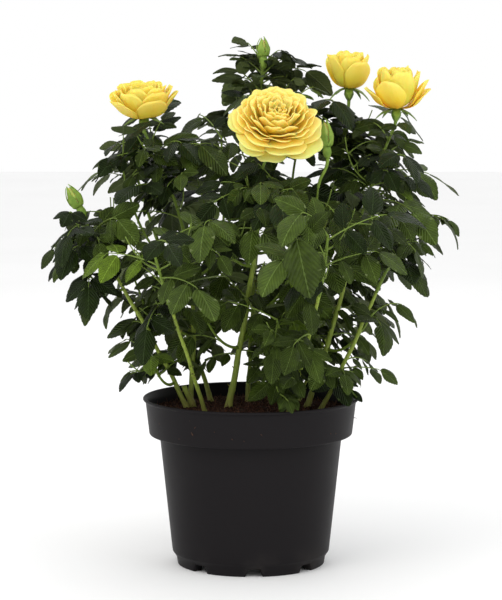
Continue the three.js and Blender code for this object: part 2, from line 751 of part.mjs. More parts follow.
for (const [name, cane] of entries(canes)) {
  caneCurves[name] = caneCurve(cane);
}
for (const [name, mass] of entries(foliage)) {
  const [thick, thin] = canes[mass.on].girth;
  stemCurves[name] = stemCurve(mass, caneCurves[mass.on], (at) => thick + (thin - thick) * at);
}

const potSolid = makePot();
const soilSolid = makeSoil(entries(canes).map(([, cane]) => socket(cane)));
add('pot', potSolid, 'pot');
add('soil', soilSolid, 'soil');
place(potSolid);
place(soilSolid);

for (const [name, cane] of entries(canes)) {
  const solid = toSolid(limb(caneCurves[name], cane.girth, caneSides, caneSteps));
  add(name, solid, name === 'new_shoot' ? 'shoot' : 'cane');
  place(solid);
}
for (const [name, bloom] of entries(blooms)) {
  const solid = makeBloom(bloom);
  add(name, solid, 'bloom');
  place(solid);
}
for (const [name, bud] of entries(buds)) {
  const solid = makeBud(bud);
  add(name, solid, 'bud');
  place(solid);
}

const stems = {};
for (const [name, mass] of entries(foliage)) {
  const girth = mass.at === undefined ? stem.girth : stem.sideGirth;
  stems[name] = toSolid(limb(stemCurves[name], girth, stem.sides, stem.steps));
  place(stems[name], name);
}
for (const [name, mass] of entries(foliage)) {
  add(name, fuse([stems[name], ...growLeaves(name, mass, stemCurves[name])]), 'foliage');
}

export default rosebush;
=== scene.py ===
import json
import random
from math import atan2, cos, exp, hypot, pi, radians, sin

import bpy
from mathutils import Matrix, Vector, noise
from mathutils.kdtree import KDTree

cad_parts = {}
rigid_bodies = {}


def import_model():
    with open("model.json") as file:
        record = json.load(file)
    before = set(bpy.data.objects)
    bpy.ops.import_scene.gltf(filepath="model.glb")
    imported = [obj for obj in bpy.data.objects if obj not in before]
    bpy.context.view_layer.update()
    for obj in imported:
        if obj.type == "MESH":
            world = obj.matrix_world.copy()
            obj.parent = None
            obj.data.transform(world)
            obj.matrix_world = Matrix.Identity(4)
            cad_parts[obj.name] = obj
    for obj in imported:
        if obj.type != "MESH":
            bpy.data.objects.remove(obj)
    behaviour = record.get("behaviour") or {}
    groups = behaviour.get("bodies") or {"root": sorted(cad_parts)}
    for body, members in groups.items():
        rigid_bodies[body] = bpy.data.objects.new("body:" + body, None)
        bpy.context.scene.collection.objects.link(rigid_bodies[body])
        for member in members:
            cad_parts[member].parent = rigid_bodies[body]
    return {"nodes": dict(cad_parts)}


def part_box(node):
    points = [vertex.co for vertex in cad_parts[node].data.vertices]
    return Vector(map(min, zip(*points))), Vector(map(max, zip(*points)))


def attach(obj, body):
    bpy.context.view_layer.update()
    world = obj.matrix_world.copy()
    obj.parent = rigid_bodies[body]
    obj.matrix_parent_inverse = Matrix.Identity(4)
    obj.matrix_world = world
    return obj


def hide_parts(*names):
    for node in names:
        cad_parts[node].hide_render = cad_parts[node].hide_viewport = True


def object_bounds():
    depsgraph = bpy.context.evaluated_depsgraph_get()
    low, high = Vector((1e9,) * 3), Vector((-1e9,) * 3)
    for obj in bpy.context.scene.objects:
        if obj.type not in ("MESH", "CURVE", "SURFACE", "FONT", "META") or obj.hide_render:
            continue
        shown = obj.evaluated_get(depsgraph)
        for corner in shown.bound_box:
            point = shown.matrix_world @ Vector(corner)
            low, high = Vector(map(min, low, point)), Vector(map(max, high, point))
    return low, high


# A yellow patio rose bush in a round nursery pot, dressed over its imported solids.
# Metres, +Z up, -Y the front. The tables below are in millimetres, as in the part's own source.

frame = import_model()
cadBox = [list(corner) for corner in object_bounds()]

mm = 0.001
up = Vector((0, 0, 1))
front = Vector((0, -1, 0))
goldenTurn = radians(137.5)

# The camera and the studio, in metres.
cameraPlace = {"stands": (0.0002, -2.2, 0.473), "looksAt": (0.0002, 0, 0.2335), "lens": 151.2}
studio = {
    "floorSize": 12,
    "floorTint": (0.92, 0.94),
    "skyColor": (1.0, 1.0, 1.0),
    "skyStrength": 1.0,
    "lampsAimAt": (0, 0, 0.28),
    # name: where it stands, size, power, colour
    "lamps": {
        "keyLamp": ((-0.9, -1.3, 1.7), 1.1, 12, (1.0, 0.98, 0.95)),
        "fillLamp": ((1.4, -1.1, 1.0), 1.2, 6, (0.95, 0.98, 1.0)),
        "frontLamp": ((0.1, -2.4, 0.35), 0.9, 5, (1.0, 1.0, 0.97)),
        "backLamp": ((0.3, 1.4, 1.6), 1.2, 5, (1.0, 1.0, 1.0)),
    },
}


def lookAt(thing, place, target):
    thing.location = place
    thing.rotation_euler = (Vector(target) - Vector(place)).to_track_quat("-Z", "Y").to_euler()


def makeCamera():
    camera = bpy.data.objects.new("camera", bpy.data.cameras.new("camera"))
    camera.data.lens = cameraPlace["lens"]
    camera.data.clip_start = 0.05
    camera.data.clip_end = 50
    lookAt(camera, cameraPlace["stands"], cameraPlace["looksAt"])
    bpy.context.scene.collection.objects.link(camera)
    bpy.context.scene.camera = camera
    bpy.context.scene.view_settings.view_transform = "Standard"


def makeStudio():
    for name, (place, size, power, color) in studio["lamps"].items():
        lamp = bpy.data.lights.new(name, "AREA")
        lamp.size = size
        lamp.energy = power
        lamp.color = color
        holder = bpy.data.objects.new(name, lamp)
        lookAt(holder, place, studio["lampsAimAt"])
        bpy.context.scene.collection.objects.link(holder)
    world = bpy.data.worlds.new("studioSky")
    bpy.context.scene.world = world
    world.use_nodes = True
    sky = world.node_tree.nodes["Background"]
    sky.inputs["Color"].default_value = (*studio["skyColor"], 1)
    sky.inputs["Strength"].default_value = studio["skyStrength"]


def makeFloor():
    half = studio["floorSize"] / 2
    corners = [(-half, -half, 0), (half, -half, 0), (half, half, 0), (-half, half, 0)]
    mesh = bpy.data.meshes.new("floor")
    mesh.from_pydata(corners, [], [(0, 1, 2, 3)])
    floor = bpy.data.objects.new("floor", mesh)
    bpy.context.scene.collection.objects.link(floor)
    mesh.materials.append(floorPaint())


# A socket of a node tree. Python's operators on it add Math nodes.
class Wire:
    def __init__(self, tree, socket):
        self.tree = tree
        self.socket = socket

    def math(self, operation, first, second=None):
        return self.tree.node("ShaderNodeMath", {"operation": operation}, {0: first, 1: second})

    def __add__(self, other):
        return self.math("ADD", self, other)

    def __radd__(self, other):
        return self.math("ADD", other, self)

    def __sub__(self, other):
        return self.math("SUBTRACT", self, other)

    def __rsub__(self, other):
        return self.math("SUBTRACT", other, self)

    def __mul__(self, other):
        return self.math("MULTIPLY", self, other)

    def __rmul__(self, other):
        return self.math("MULTIPLY", other, self)

    def __abs__(self):
        return self.math("ABSOLUTE", self)

    def fraction(self):
        return self.math("FRACT", self)

    def least(self, other):
        return self.math("MINIMUM", self, other)

    # 0 below low, 1 above high, and smooth between
    def rise(self, low, high):
        settings = {"interpolation_type": "SMOOTHSTEP"}
        return self.tree.node("ShaderNodeMapRange", settings, {0: self, 1: low, 2: high})


# A node tree in which nodes are made and joined in one line.
class Tree:
    def __init__(self, tree):
        self.tree = tree

    def node(self, kind, settings=None, inputs=None, output=0):
        made = self.tree.nodes.new(kind)
        for key, value in (settings or {}).items():
            if key == "stops":
                self.setStops(made.color_ramp.elements, value)
            else:
                setattr(made, key, value)
        for key, value in (inputs or {}).items():
            self.feed(made.inputs[key], value)
        return Wire(self, made.outputs[output])

    def feed(self, socket, value):
        if isinstance(value, Wire):
            self.tree.links.new(value.socket, socket)
        elif value is not None:
            socket.default_value = value

    def setStops(self, elements, stops):
        while len(elements) < len(stops):
            elements.new(1)
        for element, (place, color) in zip(elements, stops):
            element.position = place
            element.color = (*color, 1)


# A material under construction, with its Principled shader. Fixed values go straight on the shader.
class Finish(Tree):
    def __init__(self, name, fixed):
        self.material = bpy.data.materials.new(name)
        self.material.use_nodes = True
        super().__init__(self.material.node_tree)
        self.shader = self.tree.nodes["Principled BSDF"]
        for socket, value in fixed.items():
            self.shader.inputs[socket].default_value = value

    def spots(self):
        return self.node("ShaderNodeTexCoord", output="Object")

    # the two numbers of the piece's UV map
    def uv(self):
        flat = self.node("ShaderNodeTexCoord", output="UV")
        return [self.node("ShaderNodeSeparateXYZ", None, {0: flat}, axis) for axis in ("X", "Y")]

    def speckle(self, scale, detail=3, rough=0.5, place=None, stretch=None):
        place = place or self.spots()
        if stretch:
            place = self.node("ShaderNodeVectorMath", {"operation": "MULTIPLY"}, {0: place, 1: stretch})
        inputs = {"Vector": place, "Scale": scale, "Detail": detail, "Roughness": rough}
        return self.node("ShaderNodeTexNoise", None, inputs, "Fac")

    def blend(self, share, first, second):
        first, second = [v if isinstance(v, Wire) else (*v, 1) for v in (first, second)]
        return self.node("ShaderNodeMix", {"data_type": "RGBA"}, {0: share, 6: first, 7: second}, 2)

    def ramp(self, value, stops):
        return self.node("ShaderNodeValToRGB", {"stops": stops}, {0: value})

    def color(self, value):
        self.feed(self.shader.inputs["Base Color"], value)

    def roughness(self, value):
        self.feed(self.shader.inputs["Roughness"], value)

    # height is a pattern of about 0 to 1, and distance is what 1 stands for, in metres
    def bump(self, height, distance):
        inputs = {"Height": height, "Distance": distance, "Strength": 1.0}
        self.feed(self.shader.inputs["Normal"], self.node("ShaderNodeBump", None, inputs, "Normal"))


def floorPaint():
    finish = Finish("floorPaint", {"Roughness": 0.85})
    dark, light = studio["floorTint"]
    finish.color(finish.ramp(finish.speckle(3), [(0.3, (dark,) * 3), (0.7, (light,) * 3)]))
    return finish.material


# Vertices and faces of many shapes, gathered for one joined mesh.
class Heap:
    def __init__(self):
        self.points = []
        self.faces = []
        self.uvs = []

    # each face is a list of indices into points, and uvs holds one pair for each of the points
    def add(self, points, faces, uvs):
        start = len(self.points)
        self.points.extend(points)
        for face in faces:
            self.faces.append([start + i for i in face])
            self.uvs.extend(uvs[i] for i in face)

    def mesh(self, name):
        mesh = bpy.data.meshes.new(name)
        mesh.from_pydata([tuple(p) for p in self.points], [], self.faces)
        layer = mesh.uv_layers.new(name="UVMap")
        layer.data.foreach_set("uv", [number for pair in self.uvs for number in pair])
        mesh.polygons.foreach_set("use_smooth", [True] * len(mesh.polygons))
        mesh.validate()
        return mesh


def link(mesh):
    thing = bpy.data.objects.new(mesh.name, mesh)
    bpy.context.scene.collection.objects.link(thing)
    return thing


# Finishes a piece: what it rides on and the solids it stands for.
def settle(piece, nodes, material=None):
    if material:
        piece.data.materials.clear()
        piece.data.materials.append(material)
    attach(piece, "root")
    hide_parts(*nodes)


# The faces of a sheet whose points stand in rows, column by column.
def sheetFaces(rows, columns):
    step = columns + 1
    starts = [j * step + i for j in range(rows) for i in range(columns)]
    return [[a, a + 1, a + step + 1, a + step] for a in starts]


# A closed surface turned round Z. shape(radius, height, turn) may move each point. Its map runs once
# round it, and once in each hundred millimetres of the outline.
def turnedSurface(outline, turns, shape=None):
    points, uvs, faces, rows = [], [], [], []
    run = 0
    for k, (radius, height) in enumerate(outline):
        run += hypot(radius - outline[k - 1][0], height - outline[k - 1][1]) if k else 0
        pole = radius == 0
        row = []
        for j, turn in enumerate(turns[:1] if pole else turns):
            r, z = shape(radius, height, turn) if shape else (radius, height)
            row.append(len(points))
            points.append(Vector((r * cos(turn), r * sin(turn), z)) * mm)
            uvs.append((turn / (2 * pi), run / 100))
        rows.append(row)
    count = len(turns)
    for low, high in zip(rows, rows[1:]):
        for j in range(count):
            i = (j + 1) % count
            corners = [low[j % len(low)], low[i % len(low)], high[i % len(high)], high[j % len(high)]]
            faces.append(list(dict.fromkeys(corners)))
    return points, faces, uvs


# A closed tube along points, with a radius at each. relief(share, turn) scales the radius. Its map
# runs once round it, and once in each tenth of a metre along it.
def tube(heap, path, radii, sides, relief=None):
    points, uvs, faces = [], [], []
    along = (path[1] - path[0]).normalized()
    across = along.orthogonal().normalized()
    run = 0
    for k, spot in enumerate(path):
        ahead = path[min(k + 1, len(path) - 1)] - path[max(k - 1, 0)]
        turnBy = along.rotation_difference(ahead)
        along = ahead.normalized()
        across = (turnBy @ across).normalized()
        over = along.cross(across)
        run += (spot - path[k - 1]).length if k else 0
        for j in range(sides):
            turn = 2 * pi * j / sides
            r = radii[k] * (relief(k / (len(path) - 1), turn) if relief else 1)
            points.append(spot + (across * cos(turn) + over * sin(turn)) * r)
            uvs.append((j / sides, run / 0.1))
    for k in range(len(path) - 1):
        for j in range(sides):
            i = (j + 1) % sides
            faces.append([k * sides + j, k * sides + i, (k + 1) * sides + i, (k + 1) * sides + j])
    for end, spot in ((0, path[0]), (len(path) - 1, path[-1])):
        hub = len(points)
        points.append(spot)
        uvs.append((0.5, 0))
        for j in range(sides):
            a, b = end * sides + j, end * sides + (j + 1) % sides
            faces.append([hub, b, a] if end == 0 else [hub, a, b])
    heap.add(points, faces, uvs)


# A Geometry Nodes tree with named inputs. It is run once on a mesh, and leaves a plain mesh.
class Growth(Tree):
    def __init__(self, name):
        super().__init__(bpy.data.node_groups.new(name, "GeometryNodeTree"))
        self.sockets = self.tree.interface
        self.sockets.new_socket("Geometry", in_out="OUTPUT", socket_type="NodeSocketGeometry")
        self.sockets.new_socket("Geometry", in_out="INPUT", socket_type="NodeSocketGeometry")
        self.source = self.tree.nodes.new("NodeGroupInput")
        self.names = {}

    def ground(self):
        return Wire(self, self.source.outputs[0])

    def input(self, name, kind):
        socket = self.sockets.new_socket(name, in_out="INPUT", socket_type="NodeSocket" + kind)
        self.names[name] = socket.identifier
        return Wire(self, next(s for s in self.source.outputs if s.identifier == socket.identifier))

    def finish(self, geometry, materials):
        geometry = self.node("GeometryNodeRealizeInstances", None, {0: geometry})
        for material, chosen in materials:
            inputs = {"Geometry": geometry, "Selection": chosen, "Material": material}
            geometry = self.node("GeometryNodeSetMaterial", None, inputs)
        self.feed(self.tree.nodes.new("NodeGroupOutput").inputs[0], geometry)

    def run(self, carrier, values, name):
        modifier = carrier.modifiers.new("growth", "NODES")
        modifier.node_group = self.tree
        for key, value in values.items():
            modifier[self.names[key]] = value
        bpy.context.view_layer.update()
        grown = carrier.evaluated_get(bpy.context.evaluated_depsgraph_get())
        mesh = bpy.data.meshes.new_from_object(grown)
        mesh.name = name
        bpy.data.objects.remove(carrier)
        return link(mesh)


potShape = {
    "height": 148,
    "rimRadius": 95,
    "beadHeight": 2.6,
    "collarTop": 93.2,
    "collarFoot": 89.6,
    "collarFootHeight": 117,
    "bodyTop": 80.6,
    "bodyFoot": 69.4,
    "bodyFootHeight": 12,
    "footRadius": 65.2,
    "footWidth": 8,
    "wall": 1.8,
    "floorLift": 6.7,
    "bossRadius": 14,
    "notches": 8,
    "notchHalf": radians(4.7),
    "notchFlare": radians(2.2),
    "firstNotch": radians(-87.5),
    "stepsPerPad": 14,
}


# The pot's outer radius at a height, on its body and on its collar.
def bodyRadius(height):
    low, high = potShape["bodyFootHeight"], potShape["collarFootHeight"]
    share = (height - low) / (high - low)
    return potShape["bodyFoot"] + (potShape["bodyTop"] - potShape["bodyFoot"]) * share


def collarRadius(height):
    low, high = potShape["collarFootHeight"], potShape["height"]
    share = (height - low) / (high - low)
    return potShape["collarFoot"] + (potShape["collarTop"] - potShape["collarFoot"]) * share


# Points of an arc, with its angles in degrees.
def arc(centre, radius, start, end, steps):
    turns = [radians(start + (end - start) * i / steps) for i in range(steps + 1)]
    return [(centre[0] + radius * cos(t), centre[1] + radius * sin(t)) for t in turns]


def potOutline():
    shape = potShape
    foot, lift, step = shape["footRadius"], shape["floorLift"], shape["collarFootHeight"]
    inner = foot - shape["footWidth"]
    lip = shape["beadHeight"] / 2
    return [
        (0, 0),
        (shape["bossRadius"], 0),
        (shape["bossRadius"] + 1, lift),
        (inner - 1, lift),
        (inner, 0),
        *arc((foot - 1.2, 1.2), 1.2, -90, 0, 4),
        (foot + 0.9, 6.9),
        *arc((shape["bodyFoot"] - 3, 12.6), 3, -50, -5, 4),
        *[(bodyRadius(z) + 0.02, z) for z in (16, 30, 60, 90, 108)],
        *arc((bodyRadius(step - 3) + 1.6, step - 3.2), 1.6, 180, 90, 3),
        *arc((shape["collarFoot"] - 1.7, step), 1.7, -90, 0, 5),
        *[(collarRadius(z), z) for z in (120, 128, 137, 143.6)],
        (collarRadius(144.6) + 0.1, 144.8),
        *arc((shape["rimRadius"] - lip, shape["height"] - lip), lip, -80, 160, 10),
        (collarRadius(147) - shape["wall"], 146.6),
        *[(collarRadius(z) - shape["wall"], z) for z in (140, 130, 120)],
        (bodyRadius(step - 5) - shape["wall"], step - 1.6),
        (bodyRadius(14) - shape["wall"], 14),
        (foot - 3, shape["floorLift"] + 2.4),
        (0, shape["floorLift"] + 2.4),
    ]


# The turns at which the pot has points: those of each notch, and evenly spaced ones between notches.
def notchTurns():
    half, flare = potShape["notchHalf"], potShape["notchFlare"]
    sector = 2 * pi / potShape["notches"]
    edges = [-half - flare, -half, -half * 0.6, 0, half * 0.6, half]
    pad = sector - 2 * (half + flare)
    steps = potShape["stepsPerPad"]
    edges += [half + flare + pad * i / steps for i in range(steps)]
    first = potShape["firstNotch"]
    return [first + k * sector + edge for k in range(potShape["notches"]) for edge in edges]


# The foot ring is lifted to the floor's height within each notch, and slopes down beside it.
def liftNotches(radius, height, turn):
    sector = 2 * pi / potShape["notches"]
    lift = potShape["floorLift"]
    if height >= lift or radius < potShape["footRadius"] - potShape["footWidth"] - 0.5:
        return radius, height
    off = (turn - potShape["firstNotch"] + sector / 2) % sector - sector / 2
    share = (potShape["notchHalf"] + potShape["notchFlare"] - abs(off)) / potShape["notchFlare"]
    return radius, max(height, lift * min(1, max(0, share)))


# Satin black plastic: a fine moulded grain, faint scuffs, and dust towards the foot.
def potPlastic():
    finish = Finish("potPlastic", {"Specular IOR Level": 0.07})
    z = finish.node("ShaderNodeSeparateXYZ", None, {0: finish.spots()}, "Z")
    grain = finish.speckle(2600, 2)
    cloud = finish.speckle(26, 4, 0.6)
    scuff = finish.speckle(240, 4, 0.7, stretch=(1, 1, 0.25)).rise(0.62, 0.8)
    dust = (cloud.rise(0.45, 0.75) * (1 - z.rise(0.0, 0.03)) * 0.6 + scuff * 0.12).least(1)
    finish.color(finish.blend(dust, (0.0100, 0.0088, 0.0096), (0.034, 0.030, 0.028)))
    finish.roughness(0.4 + cloud * 0.14 + scuff * 0.16 + dust * 0.2)
    finish.bump(grain * 0.6 + cloud * 2.0, 0.00006)
    return finish.material


def makePot():
    heap = Heap()
    heap.add(*turnedSurface(potOutline(), notchTurns(), liftNotches))
    pot = link(heap.mesh("potShell"))
    settle(pot, ["pot"], potPlastic())
    print("pot done")


soilShape = {
    "edgeHeight": 135.5,
    "crown": 5,
    "depth": 14,
    "rings": 44,
    "steps": 150,
    "lump": 1.5,
    "lumpScale": 0.09,
    "calmEdge": 6,
    "sideGap": 0.3,
    # What lies on the bed: how many per square metre, the smallest and largest size, and the seed.
    "scatter": {
        "soilCrumbs": (150000, 0.0005, 0.0015, 3),
        "soilFibres": (36000, 0.004, 0.011, 8),
    },
    # Where three tones stand on the ramp, and the tones from hollow to top.
    "tones": {
        "soilBed": ((0.3, 0.52, 0.75), (0.01, 0.0045, 0.0028), (0.03, 0.0125, 0.0075), (0.085, 0.036, 0.02)),
        "soilCrumbs": ((0.3, 0.55, 0.8), (0.012, 0.005, 0.003), (0.045, 0.017, 0.01), (0.12, 0.05, 0.028)),
        "soilFibres": ((0.3, 0.6, 0.85), (0.06, 0.025, 0.014), (0.15, 0.075, 0.042), (0.3, 0.17, 0.1)),
    },
}


def soilHeight(x, y):
    return soilShape["edgeHeight"] + soilShape["crown"] * (1 - hypot(x, y) / potShape["collarFoot"])


# Moist peat: the same lumps set its tone, its roughness and its relief.
def peat(name):
    finish = Finish(name, {"Specular IOR Level": 0.2})
    lumps = finish.speckle(420, 5, 0.65)
    places, *tones = soilShape["tones"][name]
    finish.color(finish.ramp(lumps, list(zip(places, tones))))
    finish.roughness(0.8 + lumps * 0.2)
    finish.bump(lumps, 0.0012)
    return finish.material


# The bed's top and side, in millimetres, with lumps that calm down towards the pot's wall.
def soilSurface():
    shape = soilShape
    inset = potShape["wall"] + shape["sideGap"]
    low = shape["edgeHeight"] - shape["depth"]
    edge, under = collarRadius(shape["edgeHeight"]) - inset, collarRadius(low) - inset
    tops = [edge * (1 - k / shape["rings"]) for k in range(shape["rings"])]
    outline = [(0, low), (under, low)] + [(r, low + 1) for r in tops] + [(0, low + 1)]

    def lumpy(radius, height, turn):
        if height == low:
            return radius, height
        x, y = radius * cos(turn), radius * sin(turn)
        spot = Vector((x, y, 0)) * shape["lumpScale"]
        bump = noise.fractal(spot, 0.9, 2.2, 4) + 0.6 * noise.noise(spot * 4)
        calm = min(1, (edge - radius) / shape["calmEdge"] + 0.15)
        return radius, soilHeight(x, y) + shape["lump"] * bump * calm - 0.4

    turns = [2 * pi * j / shape["steps"] for j in range(shape["steps"])]
    return turnedSurface(outline, turns, lumpy)


# A small rough lump, for crumbs of peat.
def crumb(name):
    bpy.ops.mesh.primitive_ico_sphere_add(subdivisions=1, radius=1)
    lump = bpy.context.object
    lump.name = name
    draw = random.Random(5)
    for vertex in lump.data.vertices:
        vertex.co *= draw.uniform(0.7, 1.25)
    return lump


# A short bent root fibre along X, three-sided.
def fibre(name):
    heap = Heap()
    path = [Vector((t - 0.5, 0.12 * sin(5 * t), 0.1 * cos(4 * t))) for t in (0, 0.25, 0.5, 0.75, 1)]
    tube(heap, path, [0.012, 0.03, 0.034, 0.03, 0.01], 3)
    return link(heap.mesh(name))


# Scatters copies of one thing over the upward faces of the ground.
def scatterTree():
    growth = Growth("scatterOnSoil")
    density = growth.input("Density", "Float")
    small = growth.input("Smallest", "Float")
    large = growth.input("Largest", "Float")
    seed = growth.input("Seed", "Int")
    thing = growth.input("Thing", "Object")
    material = growth.input("Material", "Material")
    normal = growth.node("GeometryNodeInputNormal")
    height = growth.node("ShaderNodeSeparateXYZ", None, {0: normal}, "Z")
    upward = growth.node("FunctionNodeCompare", {"operation": "GREATER_THAN"}, {0: height, 1: 0.5})
    inputs = {"Mesh": growth.ground(), "Selection": upward, "Density": density, "Seed": seed}
    spots = growth.node("GeometryNodeDistributePointsOnFaces", None, inputs)
    full = (2 * pi, 2 * pi, 2 * pi)
    inputs = {0: (0, 0, 0), 1: full, 8: seed}
    turn = growth.node("FunctionNodeRandomValue", {"data_type": "FLOAT_VECTOR"}, inputs)
    inputs = {2: small, 3: large, 8: seed}
    size = growth.node("FunctionNodeRandomValue", {"data_type": "FLOAT"}, inputs, 1)
    shown = growth.node("GeometryNodeObjectInfo", None, {"Object": thing}, "Geometry")
    inputs = {"Points": spots, "Instance": shown, "Rotation": turn, "Scale": size}
    growth.finish(growth.node("GeometryNodeInstanceOnPoints", None, inputs), [(material, None)])
    return growth


def makeSoil():
    heap = Heap()
    heap.add(*soilSurface())
    bed = link(heap.mesh("soilBed"))
    growth = scatterTree()
    shapes = {"soilCrumbs": crumb("crumbShape"), "soilFibres": fibre("fibreShape")}
    for name, thing in shapes.items():
        density, small, large, seed = soilShape["scatter"][name]
        values = {"Density": density, "Smallest": small, "Largest": large, "Seed": seed}
        values.update({"Thing": thing, "Material": peat(name)})
        piece = growth.run(link(bed.data.copy()), values, name)
        bpy.data.objects.remove(thing)
        settle(piece, ["soil"])
    settle(bed, ["soil"], peat("soilBed"))
    print("soil done")


# Each cane's foot on the soil, the point its curve is drawn towards, its tip, and its two girths.
canes = {
    "cane_left_outer": ((-53, 6), (-88, -2, 208), (-127, -12, 270), (2.4, 1.6)),
    "cane_left": ((-55, 16), (-46, 14, 215), (-56, 16, 276), (2.5, 1.9)),
    "cane_centre": ((-21, -3), (-6, -2, 205), (5, -16, 288), (3.3, 2.3)),
    "cane_right": ((47, 9), (74, 11, 205), (89, 6, 276), (2.8, 2.0)),
    "cane_right_outer": ((58, -2), (84, -10, 180), (110, -18, 244), (2.3, 1.6)),
    "cane_back_right": ((22, 31), (46, 42, 225), (68, 42, 303), (2.3, 1.6)),
    "cane_back": ((-3, 33), (2, 46, 235), (8, 50, 330), (2.4, 1.7)),
    "cane_rear_left": ((-33, 36), (-58, 78, 205), (-86, 106, 278), (2.4, 1.7)),
    "cane_rear": ((6, 52), (6, 96, 215), (2, 118, 298), (2.4, 1.7)),
    "cane_rear_right": ((38, 36), (74, 76, 200), (98, 104, 270), (2.4, 1.7)),
    "cane_front_left": ((-38, -22), (-52, -52, 185), (-68, -78, 236), (2.1, 1.5)),
    "cane_front_right": ((31, -24), (46, -58, 190), (58, -86, 248), (2.2, 1.6)),
    "new_shoot": ((27, -6), (27, -8, 175), (22, -10, 206), (1.6, 0.9)),
}

caneLook = {
    "sides": 14,
    "steps": 64,
    "sink": 8,
    "slim": 0.88,
    "nodeEvery": 24,
    "nodeSwell": 0.16,
    "nodeWidth": 1.3,
    "footSwell": 0.35,
    "footReach": 5,
    "wander": 0.5,
    "ridge": 0.035,  # shares of the radius by which lengthwise ridges and small knobs stand out
    "knob": 0.02,
    "pricklesPerCane": 9,
    "prickleSize": (1.6, 2.8),
    "stub": ((-50, 8, 134), (-52, 6, 142), (-57, 3, 152), (-59, 2, 157)),
    "stubGirths": (3.2, 2.9, 2.4, 2.3),
}

shootLook = {"sides": 10, "steps": 30, "leafLength": 46, "seed": 3}

# Each bark's fresh and aged colours and its roughness.
barks = {
    "caneBark": ((0.27, 0.36, 0.05), (0.26, 0.21, 0.07), 0.45),
    "prickle": ((0.2, 0.2, 0.04), (0.3, 0.14, 0.05), 0.4),
    "newShoot": ((0.33, 0.5, 0.015), (0.25, 0.36, 0.02), 0.38),
    "youngStem": ((0.15, 0.23, 0.025), (0.2, 0.2, 0.04), 0.4),
    "leafRib": ((0.17, 0.25, 0.04), (0.2, 0.16, 0.05), 0.45),
}


# A quadratic curve from start, drawn towards pull, to end.
class Bend:
    def __init__(self, start, pull, end):
        self.start, self.pull, self.end = Vector(start), Vector(pull), Vector(end)

    def point(self, t):
        return self.start * (1 - t) ** 2 + self.pull * (2 * t * (1 - t)) + self.end * t * t

    def along(self, t):
        return ((self.pull - self.start) * (1 - t) + (self.end - self.pull) * t).normalized()


def caneCurve(shape):
    (x, y), pull, tip = shape[:3]
    return Bend((x, y, soilHeight(x, y) - caneLook["sink"]), pull, tip)


# The radius of a cane's solid.
def girthOn(cane, t):
    thick, thin = canes[cane][3]
    return thick + (thin - thick) * t


# Green bark: yellow-green, browner and rougher at the foot, with fine lengthwise streaks.
def greenBark(name):
    fresh, aged, rough = barks[name]
    finish = Finish(name, {"Specular IOR Level": 0.25})
    z = finish.node("ShaderNodeSeparateXYZ", None, {0: finish.spots()}, "Z")
    streaks = finish.speckle(900, 3, 0.6, stretch=(1, 1, 0.08))
    blotch = finish.speckle(90, 3)
    age = ((1 - z.rise(0.135, 0.165)) * 0.6 + blotch.rise(0.55, 0.8) * 0.22).least(1)
    tone = finish.blend(streaks.rise(0.35, 0.7), fresh, [v * 0.68 for v in fresh])
    finish.color(finish.blend(age, tone, aged))
    finish.roughness(rough + streaks * 0.15 + age * 0.2)
    finish.bump(streaks + blotch * 0.5, 0.0003)
    return finish.material


# A cane as a tube that zigzags and swells a little at its nodes, and flares at its foot.
def caneTube(heap, shape, seed):
    curve = caneCurve(shape)
    draw = random.Random(seed)
    thick, thin = [g * caneLook["slim"] * mm for g in shape[3]]
    length = (curve.end - curve.start).length
    phase = draw.uniform(0, 1)
    drift = Vector((draw.uniform(-1, 1), draw.uniform(-1, 1), 0)).normalized()
    path, radii = [], []
    for k in range(caneLook["steps"] + 1):
        t = k / caneLook["steps"]
        run = length * t / caneLook["nodeEvery"] + phase
        near = abs(run - round(run)) * caneLook["nodeEvery"]
        swell = caneLook["nodeSwell"] * exp(-(near / caneLook["nodeWidth"]) ** 2)
        above = max(0, length * t - caneLook["sink"])
        foot = caneLook["footSwell"] * exp(-above / caneLook["footReach"])
        zigzag = drift * sin(pi * run) * caneLook["wander"] * min(1, 8 * t, 8 * (1 - t))
        path.append((curve.point(t) + zigzag) * mm)
        radii.append((thick + (thin - thick) * t) * (1 + swell + foot))
    twist = draw.uniform(0, 6)

    def relief(share, turn):
        ridges = caneLook["ridge"] * sin(5 * turn + twist + 9 * share)
        return 1 + ridges + caneLook["knob"] * sin(11 * turn + 60 * share)

    tube(heap, path, radii, caneLook["sides"], relief)
    return curve


# A hooked prickle that stands up along Z and leans along -X.
def prickleShape():
    heap = Heap()
    heights, radii = (-0.12, 0.15, 0.45, 0.75, 1), (0.42, 0.3, 0.17, 0.08, 0.015)
    tube(heap, [Vector((-0.5 * t * t, 0, t)) for t in heights], radii, 5)
    return link(heap.mesh("prickleShape"))


# Puts one thing of a collection on every vertex, turned by the vertex's own two directions. The faces
# marked as under may have a second material.
def plantTree(name, twoSided=False):
    growth = Growth(name)
    things = growth.input("Things", "Collection")
    material = growth.input("Material", "Material")
    secondMaterial = growth.input("Second material", "Material")

    def attribute(label, kind="FLOAT_VECTOR"):
        return growth.node("GeometryNodeInputNamedAttribute", {"data_type": kind}, {"Name": label})

    settings = {"primary_axis": "Y", "secondary_axis": "Z"}
    inputs = {0: attribute("along"), 1: attribute("facing")}
    turn = growth.node("FunctionNodeAxesToRotation", settings, inputs)
    inputs = {"Collection": things, "Separate Children": True, "Reset Children": False}
    forms = growth.node("GeometryNodeCollectionInfo", None, inputs)
    inputs = {
        "Points": growth.ground(),
        "Instance": forms,
        "Pick Instance": True,
        "Instance Index": attribute("form", "INT"),
        "Rotation": turn,
        "Scale": attribute("size"),
    }
    planted = growth.node("GeometryNodeInstanceOnPoints", None, inputs)
    materials = [(material, None)]
    if twoSided:
        materials.append((secondMaterial, attribute("under", "BOOLEAN")))
    growth.finish(planted, materials)
    return growth


